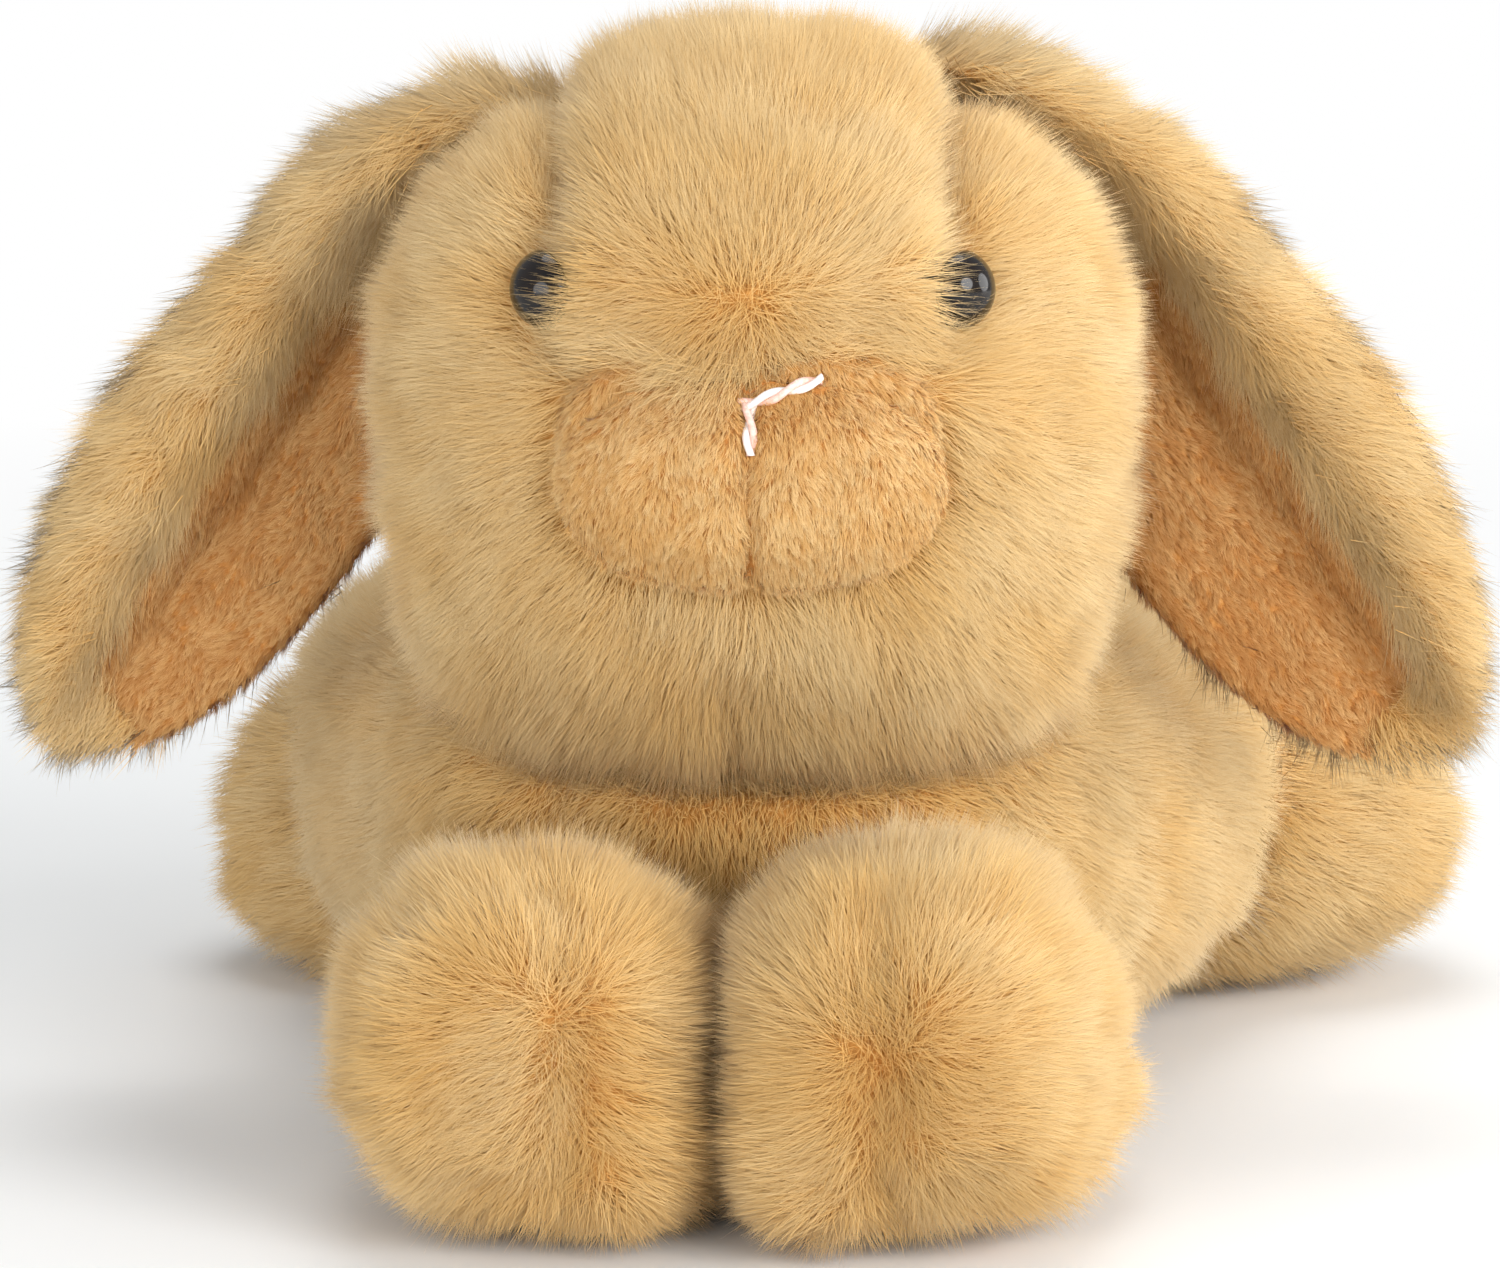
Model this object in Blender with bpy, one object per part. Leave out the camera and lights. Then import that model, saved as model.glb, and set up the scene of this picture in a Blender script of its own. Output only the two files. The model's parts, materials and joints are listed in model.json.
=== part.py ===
"""A plush lop-eared rabbit lying on its belly: sewn sacks of fur fabric around their stuffing.

Metres, +Z up, the face looks towards -Y. The origin is on the flat of the belly.
Left and right are the rabbit's own, so its left is +X.
"""

import math

import bmesh
import bpy
from mathutils import Matrix, Vector

# Fabric and clearances
PLUSH = 0.005  # fur fabric with its pile laid down
VELOUR = 0.002  # short-pile fabric of the muzzle and the ear linings
SEAM_GAP = 0.0004  # left between pieces that are sewn together
FIT_GAP = 0.0003  # left around the eye shanks and washers
LINING_GAP = 0.0008  # left between the two layers of an ear

# Body, from chest to rump
BODY_LENGTH = 0.198
BODY_Y = -0.003
SHOULDER_WIDTH = 0.132
HIP_WIDTH = 0.164
BODY_HEIGHT = 0.086
SHOULDER_HEIGHT = 0.092
BELLY_PRESSED = 0.006  # how far the round belly is pressed flat by the floor
FLOOR_Z = 0.0

# Head, sewn on above the chest and turned a little to its left
HEAD_WIDTH = 0.118
HEAD_DEPTH = 0.102
HEAD_HEIGHT = 0.117
HEAD_Y = -0.063
CHIN_HEIGHT = 0.057
JOWL_SHARE = 1.12  # fullness of the jowls over that of the cheeks
CROWN_SHARE = 0.78  # width of the crown over that of the cheeks
FOREHEAD_LEAN = 0.006  # how far the crown leans back
HEAD_TURN = math.radians(4)
NECK_RADIUS = 0.022
NECK_SET = 0.003  # the neck's stuffing ends this far above the chin

# Muzzle
MUZZLE_WIDTH = 0.063
MUZZLE_HEIGHT = 0.042
MUZZLE_DEPTH = 0.038
MUZZLE_RISE = 0.053  # its middle above the chin
MUZZLE_PROUD = 0.007  # how far it stands in front of the face

# Nose stitches
THREAD_RADIUS = 0.0010
STITCH_REACH = 0.0095
STITCH_RISE = 0.0040
STITCH_DROP = 0.0080
NOSE_DROP = 0.0085  # from the top of the muzzle to where the stitches meet

# Eyes
EYE_RADIUS = 0.006
EYE_DOME = 0.0045
EYE_FROM_SIDE = 0.026  # from the side of the head in to the eye's middle
EYE_RISE = 0.080  # above the chin
EYE_SINK = 0.0022
EYE_OUTWARD = math.radians(48)
SHANK_RADIUS = 0.002
SHANK_LENGTH = 0.0125
WASHER_RADIUS = 0.0065
WASHER_DEPTH = 0.0085  # from the dome's base to the washer's far face
WASHER_THICKNESS = 0.0015

# Ears
EAR_WIDTH = 0.054
EAR_ROOT_WIDTH = 0.034
EAR_REACH = 0.066  # from the root out to the tip
EAR_DROP = 0.102  # from the root down to the tip
EAR_ROOT_IN = 0.015  # from the side of the head in to the root
EAR_ROOT_RISE = 0.104  # above the chin
EAR_ROOT_BACK = 0.012  # behind the head's axis
EAR_FORWARD = 0.010  # how far the tip comes forward of the root
EAR_BOW_IN = 0.006  # bend of the ear's middle towards the head
EAR_BOW_UP = 0.005
EAR_CUP = 0.012
EAR_THICKNESS = 0.009  # fur fabric of the ear's back with its pile
EAR_FACE_IN = 0.25  # how much the ear's face looks in towards the cheek
EAR_END_SHARE = 0.22  # width of the ear's blunt ends over its width beside them
LINING_SPAN = (-0.88, 0.35)  # shares of the ear's half width that the lining covers
EAR_HINGE_INSET = 0.002  # how far the hinge sits inside the top of the root

# Front legs
FRONT_LEG_LENGTH = 0.080
PAW_WIDTH = 0.061
FORELEG_WIDTH = 0.067
PAW_HEIGHT = 0.066
PAW_PRESSED = 0.005  # how far the legs are pressed flat by the floor
FORELEG_HEIGHT = 0.050
CHEST_LAP = 0.022  # how far the leg's root reaches into the chest
FRONT_LIFT = math.radians(20)
LIFT_STEPS = 4  # the root is cut clear of the chest at each step of its lift

# Hind legs: the left foot reaches further out than the right one
HIND_REACH_LEFT = 0.113
HIND_REACH_RIGHT = 0.096
HIND_ROOT_X = 0.040
HIND_ROOT_Y = 0.022
HIND_FOOT_Y = 0.046
HIND_WIDTH = 0.064
HIND_HEIGHT_LEFT = 0.062
HIND_HEIGHT_RIGHT = 0.072
HIND_FOOT_SHARE = 0.80  # height of the foot over that of the thigh

# Tail
TAIL_LENGTH = 0.048
TAIL_WIDTH = 0.044
TAIL_HEIGHT = 0.040
TAIL_LAP = 0.020
TAIL_RISE = 0.047

# Fineness of the meshes
OUTER_MESH = (12, 22)
LEG_MESH = (10, 18)
SMALL_MESH = (9, 14)
CORE_MESH = (8, 12)
LATHE_SIDES = 16
NECK_SIDES = 32

COLOURS = {
    "plush": (0.78, 0.52, 0.23, 1.0),
    "velour": (0.70, 0.42, 0.16, 1.0),
    "stuffing": (0.90, 0.90, 0.88, 1.0),
    "eye_black": (0.01, 0.01, 0.01, 1.0),
    "washer_white": (0.85, 0.85, 0.82, 1.0),
    "thread": (0.90, 0.72, 0.68, 1.0),
}


def along(values, share):
    """Value at a share of the way along evenly spaced values, on a smooth curve through them."""
    last = len(values) - 1
    index = min(int(share * last), last - 1)
    step = share * last - index
    before, here, there, after = (values[max(0, min(last, index + k))] for k in (-1, 0, 1, 2))
    pull = (there - before) * step
    bend = (2 * before - 5 * here + 4 * there - after) * step**2
    turn = (3 * here - before - 3 * there + after) * step**3
    return (2 * here + pull + bend + turn) * 0.5


def signed_power(value, power):
    return math.copysign(abs(value) ** power, value)


def turns(sides):
    return [2 * math.pi * j / sides for j in range(sides)]


def ring_share(number, rings):
    """Rings lie closer together towards the ends, which keeps the ends round."""
    return (1 - math.cos(math.pi * number / rings)) / 2


class Sack:
    """A stuffed sack: rounded rings strung along a path, pressed flat by the planes it meets."""

    def __init__(self, path, widths, heights, up, end_power=2.4, section_power=2.2, presses=()):
        self.path = [Vector(p) for p in path]
        self.widths = widths
        self.heights = heights
        self.up = Vector(up)
        self.end_power = end_power
        self.section_power = section_power
        self.presses = presses

    def swell(self, share):
        return max(0.0, 1 - abs(2 * share - 1) ** self.end_power) ** (1 / self.end_power)

    def point(self, share, angle):
        ahead = along(self.path, min(1.0, share + 0.01))
        behind = along(self.path, max(0.0, share - 0.01))
        heading = (ahead - behind).normalized()
        right = heading.cross(self.up).normalized()
        rise = right.cross(heading)
        swell = self.swell(share)
        power = 2 / self.section_power
        across = along(self.widths, share) / 2 * swell * signed_power(math.cos(angle), power)
        above = along(self.heights, share) / 2 * swell * signed_power(math.sin(angle), power)
        spot = along(self.path, share) + right * across + rise * above
        for axis, side, limit in self.presses:
            if side * getattr(spot, axis) < limit:
                setattr(spot, axis, side * limit)
        return spot

    def mesh(self, fineness, inset=0.0):
        """Closed mesh, moved in by the inset along its own normals."""
        rings, sides = fineness
        bm = bmesh.new()
        first = bm.verts.new(self.point(0.0, 0.0))
        loops = []
        for k in range(1, rings):
            share = ring_share(k, rings)
            loops.append([bm.verts.new(self.point(share, turn)) for turn in turns(sides)])
        last = bm.verts.new(self.point(1.0, 0.0))
        for j in range(sides):
            k = (j + 1) % sides
            bm.faces.new((first, loops[0][j], loops[0][k]))
            bm.faces.new((last, loops[-1][k], loops[-1][j]))
            for near, far in zip(loops, loops[1:]):
                bm.faces.new((near[j], far[j], far[k], near[k]))
        bmesh.ops.recalc_face_normals(bm, faces=bm.faces)
        bm.normal_update()
        for vert in bm.verts:
            vert.co -= vert.normal * inset
        return bm


def material(name):
    found = bpy.data.materials.get(name)
    if found:
        return found
    made = bpy.data.materials.new(name)
    made.use_nodes = True
    made.diffuse_color = COLOURS[name]
    made.node_tree.nodes["Principled BSDF"].inputs["Base Color"].default_value = COLOURS[name]
    return made


def add(name, bm, slot=None):
    """Object from a mesh. Without a material it is a cutter, kept out of the renders."""
    bmesh.ops.triangulate(bm, faces=bm.faces)
    data = bpy.data.meshes.new(name)
    bm.to_mesh(data)
    bm.free()
    made = bpy.data.objects.new(name, data)
    bpy.context.collection.objects.link(made)
    if slot:
        data.materials.append(material(slot))
    else:
        made.hide_render = True
        made.display_type = "WIRE"
    return made


def carve(target, cutter, operation="DIFFERENCE"):
    boolean = target.modifiers.new(cutter.name, "BOOLEAN")
    boolean.operation = operation
    boolean.solver = "EXACT"
    boolean.object = cutter


def hinge(name, spot, parent=None):
    """Empty on a joint's axis, which its pieces hang from."""
    empty = bpy.data.objects.new(name, None)
    empty.empty_display_size = 0.01
    empty.location = spot if parent is None else Vector(spot) - parent.location
    bpy.context.collection.objects.link(empty)
    empty.parent = parent
    return empty


def hang(empty, *pieces):
    """Hang pieces that were made in place from an empty, without moving them."""
    place = Matrix.Identity(4)
    step = empty
    while step:
        place = Matrix.Translation(step.location) @ place
        step = step.parent
    for piece in pieces:
        piece.parent = empty
        piece.matrix_parent_inverse = place.inverted()


def stuffed(name, sack, fineness, cover, slot, cutters, empty=None):
    """Cover and stuffing of one sack, both opened where a larger piece cuts them."""
    skin = add(f"{name}_cover", sack.mesh(fineness), slot)
    hollow = add(f"{name}_hollow", sack.mesh(CORE_MESH, cover))
    fill = add(f"{name}_stuffing", sack.mesh(CORE_MESH, cover + SEAM_GAP), "stuffing")
    carve(skin, hollow)
    for cutter in cutters:
        carve(skin, cutter)
        carve(fill, cutter)
    if empty:
        hang(empty, skin, hollow, fill)
    return skin, fill


def lathe(profile, sides, ring=False):
    """Solid of revolution about local Z. An open profile starts and ends on the axis."""
    bm = bmesh.new()
    loops = []
    for radius, height in profile:
        if radius == 0:
            loops.append([bm.verts.new((0, 0, height))] * sides)
            continue
        spots = [(radius * math.cos(turn), radius * math.sin(turn), height) for turn in turns(sides)]
        loops.append([bm.verts.new(spot) for spot in spots])
    pairs = list(zip(loops, loops[1:]))
    if ring:
        pairs.append((loops[-1], loops[0]))
    for low, high in pairs:
        for j in range(sides):
            k = (j + 1) % sides
            corners = list(dict.fromkeys((low[j], low[k], high[k], high[j])))
            bm.faces.new(corners)
    bmesh.ops.recalc_face_normals(bm, faces=bm.faces)
    return bm


def cylinder(radius, low, high, sides=LATHE_SIDES):
    return lathe([(0, low), (radius, low), (radius, high), (0, high)], sides)


def moved(bm, matrix):
    bmesh.ops.transform(bm, matrix=matrix, verts=bm.verts)
    return bm


def leaf(side, first, last, front, depth, stations=11, points=7):
    """One layer of an ear: a cupped leaf between two shares of its width."""
    root = ear_root(side)
    tip = Vector((side * EAR_REACH, -EAR_FORWARD, -EAR_DROP))
    bulge = Vector((-side * EAR_BOW_IN, 0.5 * EAR_FORWARD, EAR_BOW_UP))
    path = [root, root + tip * 0.5 + bulge, root + tip]
    widths = [EAR_ROOT_WIDTH, 0.94 * EAR_WIDTH, 0.96 * EAR_WIDTH, 0.62 * EAR_WIDTH]
    face = Vector((-side * EAR_FACE_IN, -1.0, 0.0))
    bm = bmesh.new()
    loops = []
    for k in range(stations):
        share = k / (stations - 1)
        ahead = along(path, min(1.0, share + 0.02))
        behind = along(path, max(0.0, share - 0.02))
        heading = (ahead - behind).normalized()
        outward = (face.cross(heading) * side).normalized()
        forward = heading.cross(outward) * side
        ends = max(EAR_END_SHARE, 1 - abs(2 * share - 1) ** 6)
        half = along(widths, share) / 2 * ends
        ring = []
        for j in range(2 * points - 2):
            step = j if j < points else 2 * points - 2 - j
            across = first + (last - first) * step / (points - 1)
            cup = EAR_CUP * ends * across**2
            edge = (1 - abs(2 * step / (points - 1) - 1) ** 4) if j >= points else 0.0
            lift = cup + front - depth * edge
            ring.append(bm.verts.new(along(path, share) + outward * half * across + forward * lift))
        loops.append(ring)
    size = len(loops[0])
    for near, far in zip(loops, loops[1:]):
        for j in range(size):
            k = (j + 1) % size
            bm.faces.new((near[j], near[k], far[k], far[j]))
    bm.faces.new(loops[0])
    bm.faces.new(loops[-1])
    bmesh.ops.recalc_face_normals(bm, faces=bm.faces)
    return bm


def ear_root(side):
    root_x = HEAD_WIDTH / 2 - EAR_ROOT_IN
    return Vector((side * root_x, HEAD_Y + EAR_ROOT_BACK, CHIN_HEIGHT + EAR_ROOT_RISE))


for old in list(bpy.data.objects):
    bpy.data.objects.remove(old)

# Body
chest_y = BODY_Y - BODY_LENGTH / 2
rump_y = BODY_Y + BODY_LENGTH / 2
body_heights = [0.9 * SHOULDER_HEIGHT, SHOULDER_HEIGHT, BODY_HEIGHT, BODY_HEIGHT, 0.9 * BODY_HEIGHT]
body = Sack(
    path=[
        (0, chest_y + BODY_LENGTH * k / 4, (height - BELLY_PRESSED) / 2)
        for k, height in enumerate(body_heights)
    ],
    widths=[0.95 * SHOULDER_WIDTH, SHOULDER_WIDTH, HIP_WIDTH, HIP_WIDTH, 0.9 * HIP_WIDTH],
    heights=body_heights,
    up=(0, 0, 1),
    end_power=2.6,
    section_power=2.5,
    presses=[("z", 1, FLOOR_Z)],
)
body_clear = add("body_clear", body.mesh(OUTER_MESH, -SEAM_GAP))


def in_body(spot):
    share = (spot.y - chest_y) / BODY_LENGTH
    if not 0 < share < 1:
        return False
    swell = body.swell(share)
    across = abs(spot.x) / (along(body.widths, share) / 2 * swell)
    above = abs(spot.z - along(body.path, share).z) / (along(body.heights, share) / 2 * swell)
    return across**body.section_power + above**body.section_power < 1


def seam_top(sack):
    """Where the top line of a sack, followed from its free end, goes into the body."""
    steps = 400
    for k in range(steps):
        spot = sack.point(k / steps, math.pi / 2)
        if in_body(spot):
            return spot
    return sack.point(1.0, 0.0)


# Head
crown = CHIN_HEIGHT + HEAD_HEIGHT
head = Sack(
    path=[
        (0, HEAD_Y, CHIN_HEIGHT),
        (0, HEAD_Y, CHIN_HEIGHT + HEAD_HEIGHT / 2),
        (0, HEAD_Y + FOREHEAD_LEAN, crown),
    ],
    widths=[JOWL_SHARE * HEAD_WIDTH, HEAD_WIDTH, HEAD_WIDTH, CROWN_SHARE * HEAD_WIDTH],
    heights=[HEAD_DEPTH, HEAD_DEPTH, HEAD_DEPTH, CROWN_SHARE * HEAD_DEPTH],
    up=(0, 1, 0),
    end_power=2.4,
    section_power=2.25,
)
head_joint = hinge("head_joint", (0, HEAD_Y, CHIN_HEIGHT))
head_clear = add("head_clear", head.mesh(OUTER_MESH, -SEAM_GAP))
hang(head_joint, head_clear)

# The space the head turns in, round about its axis, opens the body at the neck
turning = [(0, CHIN_HEIGHT - SEAM_GAP)]
for k in range(1, OUTER_MESH[0] // 2 + 1):
    ring = [head.point(ring_share(k, OUTER_MESH[0]), turn) for turn in turns(OUTER_MESH[1])]
    reach = max(math.hypot(spot.x, spot.y - HEAD_Y) for spot in ring)
    turning.append((reach / math.cos(math.pi / NECK_SIDES) + SEAM_GAP, ring[0].z - SEAM_GAP))
turning.append((turning[-1][0], crown))
turning.append((0, crown))
neck_space = add("neck_space", moved(lathe(turning, NECK_SIDES), Matrix.Translation((0, HEAD_Y, 0))))
stuffed("body", body, OUTER_MESH, PLUSH, "plush", [neck_space])

head_cover, head_fill = stuffed("head", head, OUTER_MESH, PLUSH, "plush", [], head_joint)
neck_top = CHIN_HEIGHT + 3 * PLUSH
at_neck = Matrix.Translation((0, HEAD_Y, 0))
neck_hole = add("neck_hole", moved(cylinder(NECK_RADIUS, 0, neck_top), at_neck))
neck_low = CHIN_HEIGHT + NECK_SET
neck_plug = add("neck_plug", moved(cylinder(NECK_RADIUS - SEAM_GAP, neck_low, neck_top), at_neck))
hang(head_joint, neck_hole, neck_plug)
carve(head_cover, neck_hole)
carve(head_fill, neck_plug, "UNION")


def face_y(x, z):
    """Front of the head at a place of the face."""
    share = (z - CHIN_HEIGHT) / HEAD_HEIGHT
    half = along(head.widths, share) / 2 * head.swell(share)
    depth = along(head.heights, share) / 2 * head.swell(share)
    power = head.section_power
    return along(head.path, share).y - depth * (1 - (abs(x) / half) ** power) ** (1 / power)


# Muzzle
muzzle_z = CHIN_HEIGHT + MUZZLE_RISE
muzzle_y = HEAD_Y - HEAD_DEPTH / 2 - MUZZLE_PROUD + MUZZLE_DEPTH / 2
muzzle = Sack(
    path=[(-MUZZLE_WIDTH / 2, muzzle_y, muzzle_z), (MUZZLE_WIDTH / 2, muzzle_y, muzzle_z)],
    widths=[MUZZLE_DEPTH, MUZZLE_DEPTH],
    heights=[MUZZLE_HEIGHT, MUZZLE_HEIGHT],
    up=(0, 0, 1),
    end_power=2.0,
    section_power=2.0,
)
stuffed("muzzle", muzzle, SMALL_MESH, VELOUR, "velour", [head_clear], head_joint)

# Nose stitches lie on the muzzle
nose_z = muzzle_z + MUZZLE_HEIGHT / 2 - NOSE_DROP


def on_muzzle(x, z):
    """Middle of a thread that lies on the muzzle, or on the face where that stands further out."""
    share = 0.5 + x / MUZZLE_WIDTH
    half = along(muzzle.heights, share) / 2 * muzzle.swell(share)
    depth = along(muzzle.widths, share) / 2 * muzzle.swell(share)
    level = min(0.98, abs(z - muzzle_z) / half)
    forward = depth * (1 - level**muzzle.section_power) ** (1 / muzzle.section_power)
    normal = Vector((0, -forward / depth**2, (z - muzzle_z) / half**2)).normalized()
    spot = Vector((x, muzzle_y - forward, z)) + normal * (THREAD_RADIUS + SEAM_GAP)
    spot.y = min(spot.y, face_y(x, spot.z) - THREAD_RADIUS - SEAM_GAP)
    return spot


def stitch(name, spots, slot=None):
    """Thread along its spots: a closed tube with round sides."""
    bm = bmesh.new()
    loops = []
    sides = 8
    for k, spot in enumerate(spots):
        heading = (spots[min(k + 1, len(spots) - 1)] - spots[max(k - 1, 0)]).normalized()
        right = heading.cross(Vector((0, 1, 0))).normalized()
        rise = right.cross(heading)
        ring = []
        for turn in turns(sides):
            around = right * math.cos(turn) + rise * math.sin(turn)
            ring.append(bm.verts.new(spot + around * THREAD_RADIUS))
        loops.append(ring)
    for near, far in zip(loops, loops[1:]):
        for j in range(sides):
            k = (j + 1) % sides
            bm.faces.new((near[j], near[k], far[k], far[j]))
    bm.faces.new(loops[0])
    bm.faces.new(loops[-1])
    bmesh.ops.recalc_face_normals(bm, faces=bm.faces)
    return add(name, bm, slot)


cross_spots = []
for k in range(-4, 5):
    share = k / 4
    cross_spots.append(on_muzzle(share * STITCH_REACH, nose_z + abs(share) * STITCH_RISE))
down_spots = [on_muzzle(0, nose_z - k / 4 * STITCH_DROP) for k in range(5)]
nose_thread = stitch("nose_thread", cross_spots, "thread")
down_stitch = stitch("down_stitch", down_spots)
carve(nose_thread, down_stitch, "UNION")
hang(head_joint, nose_thread, down_stitch)

# Eyes, locked by washers on their shanks inside the cover
eye_x = HEAD_WIDTH / 2 - EYE_FROM_SIDE
eye_z = CHIN_HEIGHT + EYE_RISE
dome_sphere = (EYE_RADIUS**2 + EYE_DOME**2) / (2 * EYE_DOME)
dome_span = math.asin(EYE_RADIUS / dome_sphere)

for name, side in (("left", 1), ("right", -1)):
    look = Vector((side * math.sin(EYE_OUTWARD), -math.cos(EYE_OUTWARD), 0.0))
    base = Vector((side * eye_x, face_y(eye_x, eye_z), eye_z)) - look * EYE_SINK
    place = Matrix.Translation(base) @ look.to_track_quat("Z", "Y").to_matrix().to_4x4()
    dome = []
    for k in range(6):
        turn = dome_span * k / 5
        height = EYE_DOME - dome_sphere * (1 - math.cos(turn))
        dome.append((dome_sphere * math.sin(turn), height))
    stalk = [(SHANK_RADIUS, 0), (SHANK_RADIUS, -SHANK_LENGTH), (0, -SHANK_LENGTH)]
    eye = add(f"eye_{name}", moved(lathe(dome + stalk, LATHE_SIDES), place), "eye_black")
    bore = SHANK_RADIUS + FIT_GAP
    near = WASHER_THICKNESS - WASHER_DEPTH
    far = -WASHER_DEPTH
    section = [(bore, far), (WASHER_RADIUS, far), (WASHER_RADIUS, near), (bore, near)]
    washer_mesh = moved(lathe(section, LATHE_SIDES, ring=True), place)
    washer = add(f"eye_washer_{name}", washer_mesh, "washer_white")
    wide = WASHER_RADIUS + FIT_GAP
    cuts = {
        "seat": (EYE_RADIUS + SEAM_GAP, -SEAM_GAP, 4 * EYE_RADIUS),
        "hole": (bore, -2 * SHANK_LENGTH, EYE_DOME),
        "pocket": (wide, far - FIT_GAP, near + FIT_GAP),
        "room": (wide, -SHANK_LENGTH - FIT_GAP, EYE_RADIUS),
    }
    seat, hole, pocket, room = (
        add(f"eye_{cut}_{name}", moved(cylinder(*size), place)) for cut, size in cuts.items()
    )
    hang(head_joint, eye, washer, seat, hole, pocket, room)
    carve(head_cover, seat)
    carve(head_cover, hole)
    carve(head_cover, pocket)
    carve(head_fill, room)

# Ears, cut to the side of the head and hinged at the top of the root
for name, side in (("left", 1), ("right", -1)):
    root = ear_root(side)
    joint = hinge(f"ear_{name}_joint", root + Vector((0, 0, EAR_HINGE_INSET)), head_joint)
    back = add(f"ear_{name}_back", leaf(side, -1.0, 1.0, 0.0, EAR_THICKNESS), "plush")
    lining = add(f"ear_{name}_lining", leaf(side, *LINING_SPAN, LINING_GAP + VELOUR, VELOUR), "velour")
    for piece in (back, lining):
        carve(piece, head_clear)
    hang(joint, back, lining)

# Front legs, side by side and flat where they meet
for name, side in (("left", 1), ("right", -1)):
    root_y = chest_y + CHEST_LAP
    paw_y = root_y - FRONT_LEG_LENGTH
    leg = Sack(
        path=[
            (side * PAW_WIDTH / 2, paw_y, (PAW_HEIGHT - PAW_PRESSED) / 2),
            (side * PAW_WIDTH / 2, (paw_y + root_y) / 2, (PAW_HEIGHT - PAW_PRESSED) / 2),
            (side * FORELEG_WIDTH / 2, root_y, (FORELEG_HEIGHT - PAW_PRESSED) / 2),
        ],
        widths=[PAW_WIDTH, PAW_WIDTH, FORELEG_WIDTH, FORELEG_WIDTH],
        heights=[PAW_HEIGHT, PAW_HEIGHT, FORELEG_HEIGHT, FORELEG_HEIGHT],
        up=(0, 0, 1),
        end_power=2.5,
        section_power=2.5,
        presses=[("z", 1, FLOOR_Z), ("x", side, SEAM_GAP)],
    )
    joint = hinge(f"front_leg_{name}_joint", seam_top(leg))
    cutters = [body_clear]
    to_hinge = Matrix.Translation(joint.location)
    for step in range(1, LIFT_STEPS + 1):
        lift = to_hinge @ Matrix.Rotation(FRONT_LIFT * step / LIFT_STEPS, 4, "X") @ to_hinge.inverted()
        chest = add(f"chest_clear_{name}_{step}", moved(body.mesh(OUTER_MESH, -SEAM_GAP), lift))
        hang(joint, chest)
        cutters.append(chest)
    stuffed(f"front_leg_{name}", leg, LEG_MESH, PLUSH, "plush", cutters, joint)

# Hind legs, the feet point out to the sides
for name, side, reach, height in (
    ("left", 1, HIND_REACH_LEFT, HIND_HEIGHT_LEFT),
    ("right", -1, HIND_REACH_RIGHT, HIND_HEIGHT_RIGHT),
):
    foot_height = HIND_FOOT_SHARE * height
    middle_x = (HIND_ROOT_X + reach) / 2
    middle_y = (HIND_ROOT_Y + HIND_FOOT_Y) / 2
    leg = Sack(
        path=[
            (side * reach, HIND_FOOT_Y, (foot_height - PAW_PRESSED) / 2),
            (side * middle_x, middle_y, (height - PAW_PRESSED) / 2),
            (side * HIND_ROOT_X, HIND_ROOT_Y, (height - PAW_PRESSED) / 2),
        ],
        widths=[HIND_FOOT_SHARE * HIND_WIDTH, HIND_WIDTH, HIND_WIDTH],
        heights=[foot_height, height, height],
        up=(0, 0, 1),
        end_power=2.6,
        presses=[("z", 1, FLOOR_Z)],
    )
    joint = hinge(f"hind_leg_{name}_joint", seam_top(leg))
    stuffed(f"hind_leg_{name}", leg, LEG_MESH, PLUSH, "plush", [body_clear], joint)

# Tail
tail_y = rump_y - TAIL_LAP
tail = Sack(
    path=[(0, tail_y + TAIL_LENGTH, TAIL_RISE), (0, tail_y, TAIL_RISE)],
    widths=[TAIL_WIDTH, TAIL_WIDTH],
    heights=[TAIL_HEIGHT, TAIL_HEIGHT],
    up=(0, 0, 1),
    end_power=2.1,
)
tail_joint = hinge("tail_joint", seam_top(tail))
stuffed("tail", tail, SMALL_MESH, PLUSH, "plush", [body_clear], tail_joint)

head_joint.rotation_euler.z = HEAD_TURN
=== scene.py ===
"""Looks of a plush lop-eared rabbit: coats of modelled strands that grow from its sewn skins.

Metres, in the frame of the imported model. The rabbit faces -Y and its left is +X.
"""

import json
import math
from collections import namedtuple
from dataclasses import dataclass, replace

import bmesh
import bpy
import numpy as np
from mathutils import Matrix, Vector
from mathutils.bvhtree import BVHTree


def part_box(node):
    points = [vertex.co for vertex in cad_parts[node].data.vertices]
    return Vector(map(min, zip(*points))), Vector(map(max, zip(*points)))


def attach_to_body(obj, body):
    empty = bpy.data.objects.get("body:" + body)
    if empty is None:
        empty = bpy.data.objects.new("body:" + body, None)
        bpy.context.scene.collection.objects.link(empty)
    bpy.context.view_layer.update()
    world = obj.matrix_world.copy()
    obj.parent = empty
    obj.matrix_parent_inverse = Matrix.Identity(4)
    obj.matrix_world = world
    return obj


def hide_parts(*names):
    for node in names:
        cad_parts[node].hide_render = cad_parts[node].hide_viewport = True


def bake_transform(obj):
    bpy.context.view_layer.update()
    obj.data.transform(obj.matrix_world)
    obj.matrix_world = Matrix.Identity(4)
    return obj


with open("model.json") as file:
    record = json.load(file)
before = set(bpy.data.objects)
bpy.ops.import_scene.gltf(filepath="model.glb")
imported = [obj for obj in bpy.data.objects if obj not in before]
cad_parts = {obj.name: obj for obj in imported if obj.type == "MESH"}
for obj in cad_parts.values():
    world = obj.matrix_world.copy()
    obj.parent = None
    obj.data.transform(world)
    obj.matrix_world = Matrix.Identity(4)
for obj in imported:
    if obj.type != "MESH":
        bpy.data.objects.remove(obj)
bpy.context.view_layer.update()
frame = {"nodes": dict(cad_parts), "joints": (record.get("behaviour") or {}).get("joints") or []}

# Skins: the woven backing that the pile grows from
SKIN_VOXEL = 0.002
SKIN_ROUNDS = 12
MUZZLE_VOXEL = 0.0009
MUZZLE_ROUNDS = 20
FUR_BED = 0.0040  # how far a fur skin lies inside the face of its CAD cover
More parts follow.
